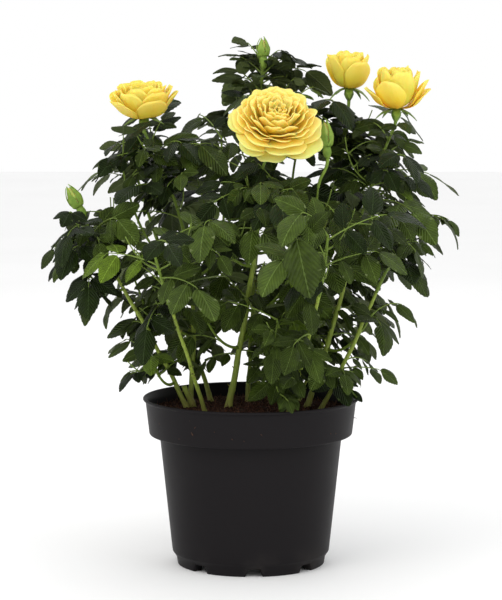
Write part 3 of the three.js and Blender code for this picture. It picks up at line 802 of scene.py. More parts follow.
# A mesh of loose vertices that carry the directions, size and form of what is planted on them.
def spotCloud(name, spots):
    mesh = bpy.data.meshes.new(name)
    mesh.from_pydata([tuple(s["place"]) for s in spots], [], [])
    for key in ("along", "facing", "size"):
        layer = mesh.attributes.new(key, "FLOAT_VECTOR", "POINT")
        layer.data.foreach_set("vector", [number for s in spots for number in s[key]])
    layer = mesh.attributes.new("form", "INT", "POINT")
    layer.data.foreach_set("value", [s.get("form", 0) for s in spots])
    return link(mesh)


# Moves things out of the scene into a collection, from which they are planted.
def collect(name, things):
    group = bpy.data.collections.new(name)
    for thing in things:
        group.objects.link(thing)
        bpy.context.scene.collection.objects.unlink(thing)
    bpy.context.scene.collection.children.link(group)
    return group


# Removes a collection and the things in it.
def drop(group):
    for thing in list(group.objects):
        bpy.data.objects.remove(thing)
    bpy.data.collections.remove(group)


def plant(growth, name, spots, group, material, second=None):
    values = {"Things": group, "Material": material}
    if second:
        values["Second material"] = second
    piece = growth.run(spotCloud(name + "Spots", spots), values, name)
    layers = piece.data.attributes
    for layer in [a for a in layers if a.name in ("along", "facing", "size", "form", "under")]:
        layers.remove(layer)
    return piece


# All the canes in one piece with their stub, and their prickles in another.
def makeCanes():
    heap = Heap()
    curves, spots = {}, []
    draw = random.Random(11)
    for seed, (name, shape) in enumerate(canes.items()):
        if name == "new_shoot":
            continue
        curves[name] = curve = caneTube(heap, shape, seed)
        for _ in range(caneLook["pricklesPerCane"]):
            t = draw.uniform(0.1, 0.95)
            along = curve.along(t)
            away = Matrix.Rotation(draw.uniform(0, 2 * pi), 3, along) @ along.orthogonal().normalized()
            girth = girthOn(name, t) * caneLook["slim"]
            size = (draw.uniform(*caneLook["prickleSize"]) * mm,) * 3
            place = (curve.point(t) + away * (girth - 0.2)) * mm
            spots.append({"place": place, "along": along.cross(away), "facing": away, "size": size})
    cutStub(heap)
    nodes = list(curves)
    settle(link(heap.mesh("caneBark")), nodes, greenBark("caneBark"))
    group = collect("prickleForms", [prickleShape()])
    piece = plant(plantTree("plantPrickles"), "prickles", spots, group, greenBark("prickle"))
    settle(piece, nodes)
    drop(group)
    print("canes done")
    return curves


# The pale stub that pruning left beside the left canes.
def cutStub(heap):
    path = [Vector(p) * mm for p in caneLook["stub"]]
    tube(heap, path, [girth * mm for girth in caneLook["stubGirths"]], 12)


# The lime shoot at the front. Its leaves come with the others.
def makeNewShoot():
    shape = canes["new_shoot"]
    curve = caneCurve(shape)
    heap = Heap()
    steps = shootLook["steps"]
    thick, thin = [g * caneLook["slim"] * mm for g in shape[3]]
    path = [curve.point(k / steps) * mm for k in range(steps + 1)]
    radii = [thick + (thin - thick) * k / steps for k in range(steps + 1)]
    tube(heap, path, radii, shootLook["sides"])
    settle(link(heap.mesh("newShoot")), ["new_shoot"], greenBark("newShoot"))
    return curve


# The masses of foliage: the limb each stands on, how far up it leaves (None is the tip), the end of
# its stem, how many leaves it bears, how long they are, and its seed.
foliage = {
    "foliage_left_outer_top": ("cane_left_outer", None, (-142, -17, 302), 5, 84, 981),
    "foliage_left_top": ("cane_left", None, (-90, 11, 374), 7, 100, 80),
    "foliage_centre_top": ("cane_centre", None, (9, -32, 342), 5, 96, 996),
    "foliage_right_top": ("cane_right", None, (122, -1, 378), 7, 94, 94),
    "foliage_right_outer_top": ("cane_right_outer", None, (140, -22, 298), 6, 92, 926),
    "foliage_back_right_top": ("cane_back_right", None, (84, 38, 384), 6, 90, 239),
    "foliage_back_top": ("cane_back", None, (10, 52, 436), 7, 84, 937),
    "foliage_rear_left_top": ("cane_rear_left", None, (-108, 128, 345), 5, 92, 317),
    "foliage_rear_top": ("cane_rear", None, (4, 138, 372), 5, 92, 547),
    "foliage_rear_right_top": ("cane_rear_right", None, (124, 124, 335), 5, 92, 237),
    "foliage_front_left_top": ("cane_front_left", None, (-82, -104, 290), 5, 88, 778),
    "foliage_front_right_top": ("cane_front_right", None, (64, -112, 300), 5, 91, 962),
    "foliage_foot_left": ("cane_left_outer", 0.2, (-88, -10, 182), 4, 72, 134),
    "foliage_foot_right": ("cane_right", 0.16, (74, -26, 172), 4, 66, 859),
    "foliage_rim_right": ("cane_front_right", 0.16, (42, -62, 164), 3, 64, 923),
    "foliage_mid_right": ("cane_back_right", 0.32, (50, 12, 216), 3, 78, 290),
    "foliage_mid_front": ("cane_front_right", 0.5, (22, -60, 224), 3, 78, 556),
    "foliage_foot_centre": ("cane_front_right", 0.3, (22, -44, 178), 3, 56, 984),
    "foliage_left_outer_low": ("cane_left_outer", 0.8, (-142, -24, 260), 4, 85, 44),
    "foliage_left_outer_rear": ("cane_left_outer", 0.5, (-104, 40, 248), 3, 86, 914),
    "foliage_left_front": ("cane_left", 0.45, (-78, -26, 232), 3, 87, 264),
    "foliage_left_rear": ("cane_left", 0.65, (-80, 46, 290), 3, 90, 547),
    "foliage_left_high": ("cane_left", 0.92, (-112, -4, 350), 4, 86, 572),
    "foliage_left_inner": ("cane_left", 0.82, (-24, 2, 330), 3, 91, 68),
    "foliage_centre_low": ("cane_centre", 0.4, (-40, -36, 224), 3, 80, 27),
    "foliage_centre_front": ("cane_centre", 0.62, (36, -42, 262), 3, 90, 102),
    "foliage_centre_left": ("cane_centre", 0.86, (-28, -48, 300), 3, 90, 448),
    "foliage_right_low": ("cane_right", 0.4, (106, -10, 222), 3, 84, 570),
    "foliage_right_inner": ("cane_right", 0.78, (58, -32, 334), 4, 90, 485),
    "foliage_right_high": ("cane_right", 0.92, (134, 22, 312), 3, 92, 9),
    "foliage_back_right": ("cane_back_right", 0.66, (92, 72, 286), 3, 90, 390),
    "foliage_back_inner": ("cane_back_right", 0.88, (50, 34, 396), 4, 84, 935),
    "foliage_back_low": ("cane_back", 0.5, (-32, 70, 258), 2, 90, 272),
    "foliage_back_high": ("cane_back", 0.84, (-26, 34, 376), 3, 86, 925),
    "foliage_rear_left_low": ("cane_rear_left", 0.55, (-98, 66, 232), 3, 90, 12),
    "foliage_rear_low": ("cane_rear", 0.55, (-22, 122, 240), 3, 92, 48),
    "foliage_rear_high": ("cane_rear", 0.8, (52, 128, 296), 3, 92, 568),
    "foliage_rear_right_low": ("cane_rear_right", 0.55, (112, 68, 226), 3, 90, 865),
}

# How the source grows a leaf. Shares are of the leaf's length, and pairs give each pair's place on
# the rib and its share. The draws are the source's own, in its order.
leafRule = {
    "ribShare": 0.58,
    "endShare": 0.44,
    "pairs": ((0.3, 0.31), (0.78, 0.37)),
    "bladeWidth": 0.64,
    "spread": radians(62),
    "lift": 0.3,
    "facesOut": 0.5,
    "facesFront": 0.8,
    "middleHeight": 298,
    "tries": 8,
    "sameTip": 0.3,  # how near a solid's corner a blade's tip must be to be the same blade
    "gap": 0.3,
    "sideGap": 0.45,
    "places": (0.3, 0.62, 0.985),  # of the first leaf, the run of the others, and of the last
    "draws": {
        "size": (0.86, 1.1),
        "rise": (-0.05, 0.35),
        "sag": (0.15, 0.45),
        "roll": (-0.4, 0.4),
        "droop": (0.2, 0.8),
        "spread": (0.9, 1.1),
    },
}

leafLook = {
    "topStemGirth": (1.7, 1.1),
    "sideStemGirth": (1.4, 0.9),
    "twigGirth": (0.8, 0.5),
    "stemSteps": 26,
    "stemSides": 9,
    "nodeEvery": 21,
    "nodeSwell": 0.14,
    "ribGirth": (0.75, 0.4),
    "ribSides": 6,
    "stalkSides": 5,
    "sink": 2.4,  # how far a stem runs into what carries it
    "widthScale": 0.97,
    "lengthScale": 0.87,
    "stalkShare": 0.08,
    "tilt": 0.36,  # how loosely leaflets turn about their length
    "liesFlat": 1.1,  # how strongly they turn to the light
    "extraLeaves": (16, 12),  # on a mass at a cane's tip, and on one at its side
    "extraAt": (0.15, 0.98),
    "extraSize": (0.52, 0.76),
    "extraSeed": 5000,
    "twigs": 5,
    "twigAt": (0.3, 0.9),
    "twigReach": (22, 46),
    "twigLeavesAt": (0.5, 0.75, 0.985),
    "twigLeafSize": (0.5, 0.68),
    "twigSeed": 7000,
    "sparse": ("foliage_right_low", "foliage_rear_right_low"),
    "sparseLeaves": 2,
    "nearSolid": 24,  # how far an added leaf's tips may lie from the solid
    "pastBox": 9,
    "caneLeaves": 9,
    "caneLeavesAt": (0.16, 0.75),
    "caneLeafLength": (52, 70),
    "insideBox": 14,
    "lowestTip": 152,
    "clearOfPot": 114,
    "flatRoom": 0.85,  # the share of a flower's room that leaves in front of it keep free
    "openCanes": ("cane_left_outer", "cane_left", "cane_centre", "cane_right"),
    "openWidth": 13,
    "frontLeafRoom": (Vector((43, -156, 280)), 20),
    # Small leaves crowded over a stretch of a stem, and how much more steeply they rise.
    "tufts": {
        "foliage_back_top": {"seed": 77, "count": 14, "over": (0.5, 0.8), "rise": 0.4, "long": 58},
        "bud_top": {"seed": 8, "count": 16, "over": (0.1, 0.7), "rise": 0.3, "long": 56},
        "foliage_back_right_top": {"seed": 41, "count": 14, "over": (0.6, 1.0), "rise": 0.3, "long": 60},
        "foliage_left_top": {"seed": 31, "count": 10, "over": (0.6, 1.0), "rise": 0.1, "long": 56},
        "foliage_left_outer_top": {"seed": 19, "count": 8, "over": (0.3, 0.9), "rise": -0.1, "long": 60},
        "foliage_foot_left": {"seed": 23, "count": 6, "over": (0.2, 0.9), "rise": 0.1, "long": 56},
        "cane_centre": {"seed": 3, "count": 9, "over": (0.14, 0.42), "rise": -0.1, "long": 58},
    },
    "paintedShadeHeights": (180, 400),  # where the tints are dealt as low down, and where as high up: painted light on the low leaves, painted shade on the high ones
}

# Base colours of the upper side, the underside, and how likely a leaf takes them low and high up.
# The random choice is real tone that differs by chance; dealing darker tints high and paler ones low is
# painted shade above and painted light below.
leafTints = {
    "leavesDeep": ((0.014, 0.027, 0.003), (0.066, 0.09, 0.028), 0.4, 2.0),
    "leavesMid": ((0.038, 0.062, 0.006), (0.098, 0.13, 0.042), 1.3, 1.6),
    "leavesSoft": ((0.066, 0.105, 0.014), (0.13, 0.165, 0.06), 2.2, 0.5),
    "leavesYoung": ((0.13, 0.21, 0.016), (0.18, 0.25, 0.07), 0.25, 0.06),
}


# The seeded numbers of the source, a linear congruential generator of 32 bits.
def numbers(seed):
    wrap = 2 ** 32
    state = seed * 2654435761 % wrap

    def draw(low, high):
        nonlocal state
        state = (state * 1664525 + 1013904223) % wrap
        return low + (high - low) * state / wrap

    return draw


# A mass's stem: it carries on from its limb's tip, or leaves its side at a share of the limb's length.
def stemCurve(on, at, to, curves):
    carrier, end = curves[on], Vector(to)
    if at is None:
        along = carrier.along(1)
        start = carrier.point(1) + along * leafRule["gap"]
        return Bend(start, start + along * 0.45 * (end - start).length, end)
    root, along = carrier.point(at), carrier.along(at)
    away = end - root
    away = (away - along * away.dot(along)).normalized()
    start = root + away * (girthOn(on, at) + leafRule["sideGap"])
    return Bend(start, start + away * 0.4 * (end - start).length, end)


# What the source draws for each leaf of a stem. Each leaf turns on from the one before.
def leafDraws(seed, count):
    draw = numbers(seed)
    turn = draw(0, 2 * pi)
    leaves = []
    for _ in range(count):
        leaf = {"turn": turn}
        for key, (low, high) in leafRule["draws"].items():
            leaf[key] = draw(low, high)
        leaves.append(leaf)
        turn += goldenTurn + draw(-0.3, 0.3)
    return leaves


def bladeAt(start, along, facing, length):
    tip = start + along * length
    return {"start": start, "along": along, "facing": facing, "length": length, "tip": tip}


# Where a leaf's rib and its blades lie, for a leaf at t of a stem. The last one carries the stem on.
def leafPlan(curve, t, last, long, draws, attempt=0):
    rule = leafRule
    root, along = curve.point(min(t, rule["places"][2])), curve.along(t)
    reference = up if abs(along.z) < 0.9 else Vector((0, 1, 0))
    across = along.cross(reference).normalized()
    over = across.cross(along)
    turn = draws["turn"] + attempt * (0.4 if attempt % 2 else -0.4)
    outward = Vector((root.x, root.y, 0))
    outward /= max(60, outward.length)
    heading = across * cos(turn) + over * sin(turn) + along * (1.6 if last else 0.4) + outward * 0.5
    heading.normalize()
    level = Vector((heading.x, heading.y, 0)).normalized()
    lift = min(1, max(-0.4, (root.z - rule["middleHeight"]) / 90))
    climb = min(1.2, max(-0.3, 0.6 * heading.z + draws["rise"] + rule["lift"] * lift))
    size = long * draws["size"]
    rib = rule["ribShare"] * size
    toFront = front * rule["facesFront"] * min(1, max(0, 0.6 - root.y / 120))
    side = Vector((-level.y, level.x, 0)) * draws["roll"]
    facing = (up + outward * rule["facesOut"] + toFront + side).normalized()

    def ribPoint(s):
        return root + level * rib * cos(climb) * s + up * rib * (sin(climb) * s - draws["sag"] * s * s)

    def blade(s, share, angle):
        forward = (level * cos(climb) + up * (sin(climb) - 2 * draws["sag"] * s)).normalized()
        left = facing.cross(forward).normalized()
        droop = draws["droop"] * (0.6 if angle else 1)
        along = (forward * cos(angle) + left * sin(angle) - up * droop).normalized()
        wing = facing.cross(along).normalized()
        return bladeAt(ribPoint(s), along, along.cross(wing), share * size)

    spread = rule["spread"] * draws["spread"]
    blades = [blade(1, rule["endShare"], 0)]
    for at, share in rule["pairs"]:
        blades += [blade(at, share, spread), blade(at, share, -spread)]
    return {"rib": [ribPoint(k / 8) for k in range(9)], "blades": blades}


# A solid's corners, to be searched by place.
def cornersOf(node):
    vertices = frame["nodes"][node].data.vertices
    tree = KDTree(len(vertices))
    for index, vertex in enumerate(vertices):
        tree.insert(vertex.co / mm, index)
    tree.balance()
    return tree


def offSolid(tree, point):
    return tree.find(point)[2]


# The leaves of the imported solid: the rule is run again, and the try that the solid holds is kept.
def solidLeaves(name, curve, flowering, tree):
    count, long, seed = foliage[name][3:]
    first, run, end = leafRule["places"]
    grown = []
    for index, draws in enumerate(leafDraws(seed, count)):
        last = index == count - 1 and name not in flowering
        t = end if last else first + run * index / max(1, count - 2)
        for attempt in range(leafRule["tries"]):
            plan = leafPlan(curve, t, last, long, draws, attempt)
            matched = [b for b in plan["blades"] if offSolid(tree, b["tip"]) < leafRule["sameTip"]]
            if len(matched) > 1 and matched[0] is plan["blades"][0]:
                grown.append(plan)
                break
    return grown


# True where nothing of a leaf would cover or cut a flower.
def clearOfFlowers(blades):
    for centre, radius in (*flowerRooms(), leafLook["frontLeafRoom"]):
        for blade in blades:
            for share in (0.3, 0.65, 1):
                spot = blade["start"].lerp(blade["tip"], share)
                flat = hypot(spot.x - centre.x, spot.z - centre.z)
                covers = spot.y < centre.y and flat < radius * leafLook["flatRoom"]
                if covers or (spot - centre).length < radius:
                    return False
    return True


# True where nothing of a leaf hides one of the canes that show at the front.
def clearOfCanes(blades, curves):
    steps = 19
    for cane in leafLook["openCanes"]:
        for k in range(steps + 1):
            spot = curves[cane].point(k / steps)
            for blade in blades:
                middle = blade["start"].lerp(blade["tip"], 0.5)
                aside = hypot(middle.x - spot.x, middle.z - spot.z)
                if middle.y < spot.y and aside < leafLook["openWidth"]:
                    return False
    return True


# The places and draws of the leaves on a twig. The last leaf carries the twig on.
def twigLeaves(seed):
    places = leafLook["twigLeavesAt"]
    for t, draws in zip(places, leafDraws(seed, len(places))):
        yield t, t == places[-1], draws


# More leaves and fine side twigs, by the same rule from other seeds, kept within the solid's reach.
def moreLeaves(name, curve, tree, curves):
    draw = random.Random(name)
    at, _, _, long, seed = foliage[name][1:]
    low, high = [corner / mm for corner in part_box(name)]
    look = leafLook
    past = look["pastBox"]
    grown, twigs = [], []

    def fits(plan):
        for blade in plan["blades"]:
            if offSolid(tree, blade["tip"]) > look["nearSolid"]:
                return False
            if any(not low[i] - past < blade["tip"][i] < high[i] + past for i in range(3)):
                return False
        return clearOfFlowers(plan["blades"]) and clearOfCanes(plan["blades"], curves)

    leaves, twigCount = look["extraLeaves"][at is not None], look["twigs"]
    if name in look["sparse"]:
        leaves, twigCount = look["sparseLeaves"], 0
    for draws in leafDraws(seed + look["extraSeed"], leaves):
        t = draw.uniform(*look["extraAt"])
        plan = leafPlan(curve, t, False, long * draw.uniform(*look["extraSize"]), draws)
        if fits(plan):
            grown.append(plan)
    for k in range(twigCount):
        t = draw.uniform(*look["twigAt"])
        root, along = curve.point(t), curve.along(t)
        side = Matrix.Rotation(draw.uniform(0, 2 * pi), 3, along) @ along.orthogonal().normalized()
        reach = draw.uniform(*look["twigReach"])
        tip = root + side * reach * 0.75 + (along + up * 0.4) * reach * 0.5
        twig = Bend(root, root + side * reach * 0.5, tip)
        borne = []
        for t, last, draws in twigLeaves(seed + look["twigSeed"] + k):
            plan = leafPlan(twig, t, last, long * draw.uniform(*look["twigLeafSize"]), draws)
            if fits(plan):
                borne.append(plan)
        if borne:
            grown += borne
            twigs.append(twig)
    return grown, twigs


# Small leaves that the canes bear themselves, low down, where the crown would be bare.
def caneLeaves(cane, curves):
    draw = random.Random(cane)
    curve = curves[cane]
    low, high = [Vector(corner) / mm for corner in cadBox]
    inset = leafLook["insideBox"]
    grown = []
    for draws in leafDraws(sum(map(ord, cane)), leafLook["caneLeaves"]):
        t = draw.uniform(*leafLook["caneLeavesAt"])
        plan = leafPlan(curve, t, False, draw.uniform(*leafLook["caneLeafLength"]), draws)
        tips = [blade["tip"] for blade in plan["blades"]]
        inside = all(low[i] + inset < tip[i] < high[i] - inset for tip in tips for i in range(3))
        offSoil = min(tip.z for tip in tips) > leafLook["lowestTip"]
        if inside and offSoil and clearOfCanes(plan["blades"], curves):
            grown.append(plan)
    return grown


# Tufts of small leaves round the topmost bud, under two flowers, and low on the canes.
def tuftLeaves(curves):
    carrier = stemCurves[buds["bud_top"]["on"]]
    stalk = Bend(carrier.point(0.9), carrier.point(1), buds["bud_top"]["base"])
    stems = {**curves, **stemCurves, "bud_top": stalk}
    grown = []
    for name, tuft in leafLook["tufts"].items():
        start, end = tuft["over"]
        for index, draws in enumerate(leafDraws(tuft["seed"], tuft["count"])):
            draws["rise"] += tuft["rise"]
            t = start + (end - start) * index / tuft["count"]
            plan = leafPlan(stems[name], t, False, tuft["long"], draws)
            tips = [blade["tip"] for blade in plan["blades"]]
            low, wide = leafLook["lowestTip"] + 1, leafLook["clearOfPot"]
            offPot = all(tip.z > low or hypot(tip.x, tip.y) > wide for tip in tips)
            if offPot and clearOfFlowers(plan["blades"]):
                grown.append(plan)
    return grown


# The large leaf that hangs in front of the middle of the crown.
def frontLeaf():
    rib = Bend(stemCurves["foliage_front_right_top"].point(0.6), (54, -142, 308), (37, -153, 303))
    facing = Vector((-0.2, -0.9, 0.4)).normalized()
    leaflets = (
        (1, (0.2, -0.3, -0.95), 58),
        (0.74, (-0.9, -0.1, 0.3), 30),
        (0.7, (0.5, -0.2, 0.7), 28),
    )
    blades = [bladeAt(rib.point(t), Vector(way).normalized(), facing, long) for t, way, long in leaflets]
    return {"rib": [rib.point(k / 8) for k in range(9)], "blades": blades, "still": True}


# A leaflet of unit length and width. A tooth's notch and point each have a place in the tooth, a
# distance off the smooth outline, and a lean towards the leaflet's tip. The four bends of a form are
# how far it folds, curls, twists and bows.
leafletShape = {
    "teeth": 7,
    "notch": (0.0, -0.008, 0),
    "point": (0.72, 0.014, 0.012),
    "fullest": 0.78,  # below 1 the leaflet is widest nearer its root
    "fullness": 0.74,  # below 1 it is broader towards both ends
    "rootHalf": 0.02,
    "leastHalf": 0.03,
    "thickness": 0.014,
    "columns": (-1, -0.55, 0, 0.55, 1),
    "veins": 8.5,
    "veinSlant": 0.95,
    "forms": {
        "leafletFlat": (0.16, 0.10, 0.05, 0.05),
        "leafletFolded": (0.42, 0.14, -0.08, 0.08),
        "leafletCurled": (0.26, 0.26, 0.10, 0.10),
        "leafletCupped": (0.05, 0.20, -0.12, -0.04),
    },
}


# Half the width of a leaflet at each station from its root to its tip, with its teeth.
def bladeOutline():
    teeth = leafletShape["teeth"]
    stations = [(0, leafletShape["rootHalf"])]
    for k in range(teeth):
        for part, push, lean in (leafletShape["notch"], leafletShape["point"]):
            s = (k + part + 0.35) / (teeth + 0.45)
            half = 0.5 * sin(pi * s ** leafletShape["fullest"]) ** leafletShape["fullness"]
            stations.append((s + lean, max(leafletShape["leastHalf"], half + push)))
    stations.append((1, 0.0))
    return stations


# One leaflet: root at the origin, tip at +Y, one unit long and one wide, folded along its rib.
def leaflet(name, fold, curl, twist, bow):
    stations = bladeOutline()
    points, uvs, faces, under = [], [], [], []
    columns = leafletShape["columns"]

    def place(s, share, width, drop):
        x = share * width
        z = fold * abs(x) - 2.2 * fold * x * x - curl * s * s + bow * s * (1 - s)
        z += 0.02 * sin(9 * s + 3 * share) * abs(share) + twist * x * (s - 0.4)
        return Vector((x * 0.98, s - 0.25 * curl * s ** 3, z - drop))

    rows = []
    for s, width in stations:
        row = []
        for share in (columns if width > 0 else (0,)):
            row.append(len(points))
            points.append(place(s, share, width, 0))
            uvs.append((0.5 + share * width, s))
        rows.append(row)
    lower = []
    for (s, width), top in zip(stations, rows):
        row = []
        for index, share in enumerate(columns if width > 0 else (0,)):
            if abs(share) == 1 or width == 0:
                row.append(top[index])
                continue
            row.append(len(points))
            points.append(place(s, share, width, leafletShape["thickness"]))
            uvs.append((0.5 + share * width, s))
        lower.append(row)
    for grid, flip in ((rows, False), (lower, True)):
        for near, far in zip(grid, grid[1:]):
            for j in range(4):
                corners = [near[j], near[j + 1], far[min(j + 1, len(far) - 1)], far[min(j, len(far) - 1)]]
                corners = list(dict.fromkeys(corners))
                faces.append(corners[::-1] if flip else corners)
                under.append(flip)
    faces.append([*lower[0], rows[0][3], rows[0][2], rows[0][1]])
    under.append(True)
    heap = Heap()
    heap.add(points, faces, uvs)
    mesh = heap.mesh(name)
    layer = mesh.attributes.new("under", "BOOLEAN", "FACE")
    layer.data.foreach_set("value", under)
    rim = set()
    for near, far in zip(rows, rows[1:]):
        rim.add(frozenset((near[0], far[0])))
        rim.add(frozenset((near[-1], far[-1])))
    sharp = mesh.attributes.new("sharp_edge", "BOOLEAN", "EDGE")
    sharp.data.foreach_set("value", [frozenset(edge.vertices) in rim for edge in mesh.edges])
    return link(mesh)


# How far a spot is from the midrib, and a wave that is 0 on the side veins and 0.5 between them.
def veinLines(finish):
    u, v = finish.uv()
    off = abs(u - 0.5)
    run = leafletShape["veins"] * (v - leafletShape["veinSlant"] * off)
    return off, abs(run.fraction() - 0.5)


# Upper side: pinnate veins that quilt the blade, painted shade that darkens their creases, a paler midrib,
# and a soft gloss.
def leafTop(name, tint):
    finish = Finish(name, {"Specular IOR Level": 0.17})
    off, vein = veinLines(finish)
    crease = (1 - vein.rise(0.0, 0.16)) * off.rise(0.0, 0.06)
    rib = 1 - off.rise(0.008, 0.035)
    mottle = finish.speckle(120, 3)
    pale = [c * 1.9 + 0.01 for c in tint]
    paintedCreaseShade = [c * 0.45 for c in tint]
    tone = finish.blend(mottle.rise(0.3, 0.75), [c * 0.75 for c in tint], [c * 1.25 for c in tint])
    # painted shade: the tint is darkened in the vein creases, where the quilted relief would lie in shadow
    tone = finish.blend(crease * 0.6, tone, paintedCreaseShade)
    finish.color(finish.blend(rib * 0.5, tone, [c * 1.4 + 0.02 for c in pale]))
    finish.roughness(0.34 + mottle * 0.2 + crease * 0.08)
    finish.bump(vein - rib * 0.4 + mottle * 0.25, 0.0025)
    return finish.material


# Underside: paler and matte, with the veins raised.
def leafUnder(name, tint):
    finish = Finish(name, {"Specular IOR Level": 0.12})
    off, vein = veinLines(finish)
    ridge = (1 - vein.rise(0.0, 0.12)) * 0.6
    rib = 1 - off.rise(0.012, 0.04)
    finish.color(finish.blend((ridge * 0.5 + rib).least(1), tint, [c * 1.35 + 0.02 for c in tint]))
    finish.roughness(0.62 + ridge * 0.1)
    finish.bump(ridge + rib, 0.0006)
    return finish.material


# Picks a tint by chance, and by how high the leaf stands, which paints shade on high leaves and light on low
# ones.
def dealTint(draw, plan):
    bottom, top = leafLook["paintedShadeHeights"]
    share = min(1, max(0, (plan["rib"][0].z - bottom) / (top - bottom)))
    weights = [low + (high - low) * share for _, _, low, high in leafTints.values()]
    return draw.choices(list(leafTints), weights)[0]


def makeLeaves(curves, shoot):
    draw = random.Random(21)
    flowering = {flower["on"] for flower in (*blooms.values(), *buds.values())}
    stems, woody = Heap(), Heap()
    clouds = {tint: [] for tint in leafTints}
    count = 0
    for name, (on, at, to, *_) in foliage.items():
        curve = stemCurve(on, at, to, curves)
        stemCurves[name] = curve
        tree = cornersOf(name)
        own = solidLeaves(name, curve, flowering, tree)
        extra, twigs = moreLeaves(name, curve, tree, curves)
        count += len(own)
        addStem(woody, curve, leafLook["topStemGirth" if at is None else "sideStemGirth"])
        for twig in twigs:
            addStem(stems, twig, leafLook["twigGirth"])
        for plan in own + extra:
            addLeaf(stems, plan, clouds[dealTint(draw, plan)], draw)
    for cane in curves:
        for plan in caneLeaves(cane, curves):
            addLeaf(stems, plan, clouds[dealTint(draw, plan)], draw)
    for t, last, draws in twigLeaves(shootLook["seed"]):
        plan = leafPlan(shoot, t, last, shootLook["leafLength"], draws)
        addLeaf(stems, plan, clouds["leavesYoung"], draw)
    addLeaf(stems, frontLeaf(), clouds["leavesMid"], draw)
    for plan in tuftLeaves(curves):
        addLeaf(stems, plan, clouds[dealTint(draw, plan)], draw)
    print(f"{count} leaves of the solids found again, {sum(map(len, clouds.values()))} leaflets")
    nodes = list(foliage)
    settle(link(woody.mesh("youngStems")), nodes, greenBark("youngStem"))
    settle(link(stems.mesh("leafRibs")), nodes, greenBark("leafRib"))
    forms = [leaflet(name, *bends) for name, bends in leafletShape["forms"].items()]
    group = collect("leafletForms", forms)
    growth = plantTree("plantLeaflets", True)
    for tint, (upper, lower, *_) in leafTints.items():
        materials = leafTop(tint, upper), leafUnder(tint + "Under", lower)
        settle(plant(growth, tint, clouds[tint], group, *materials), nodes)
        print(tint, len(clouds[tint]))
    drop(group)
    print("leaves done")


# A stem that swells a little at its nodes.
def addStem(heap, curve, girth):
    steps = leafLook["stemSteps"]
    length = (curve.end - curve.start).length
    path, radii = [(curve.start - curve.along(0) * leafLook["sink"]) * mm], [girth[0] * mm]
    for k in range(steps + 1):
        t = k / steps
        near = (length * t / leafLook["nodeEvery"] + 0.3) % 1
        swell = leafLook["nodeSwell"] * exp(-((near - 0.5) * 14) ** 2)
        path.append(curve.point(t) * mm)
        radii.append((girth[0] + (girth[1] - girth[0]) * t) * (1 + swell) * mm)
    tube(heap, path, radii, leafLook["stemSides"])


# A leaf's rib and short stalks as tubes, and a spot in the cloud for each leaflet.
def addLeaf(heap, plan, cloud, draw):
    thick, thin = leafLook["ribGirth"]
    rib = plan["rib"]
    girths = [(thick + (thin - thick) * k / (len(rib) - 1)) * mm for k in range(len(rib))]
    girths[0] *= 1.5
    tube(heap, [p * mm for p in rib], girths, leafLook["ribSides"])
    loose = 0 if "still" in plan else 1
    for blade in plan["blades"]:
        tilt = Matrix.Rotation(draw.gauss(0, leafLook["tilt"]) * loose, 3, blade["along"])
        length = blade["length"] * leafLook["lengthScale"]
        width = length * leafRule["bladeWidth"] * leafLook["widthScale"] * draw.uniform(0.92, 1.06)
        base = blade["start"] + blade["along"] * length * leafLook["stalkShare"]
        stalk = [blade["start"] * mm, base * mm]
        tube(heap, stalk, [thin * 0.9 * mm, thin * 0.6 * mm], leafLook["stalkSides"])
        toLight = up * leafLook["liesFlat"] * loose * draw.random()
        cloud.append({
            "place": base * mm,
            "along": blade["along"],
            "facing": tilt @ (blade["facing"] + toLight).normalized(),
            "size": (width * mm, length * 0.99 * mm, length * mm),
            "form": draw.randrange(len(leafletShape["forms"])),
        })


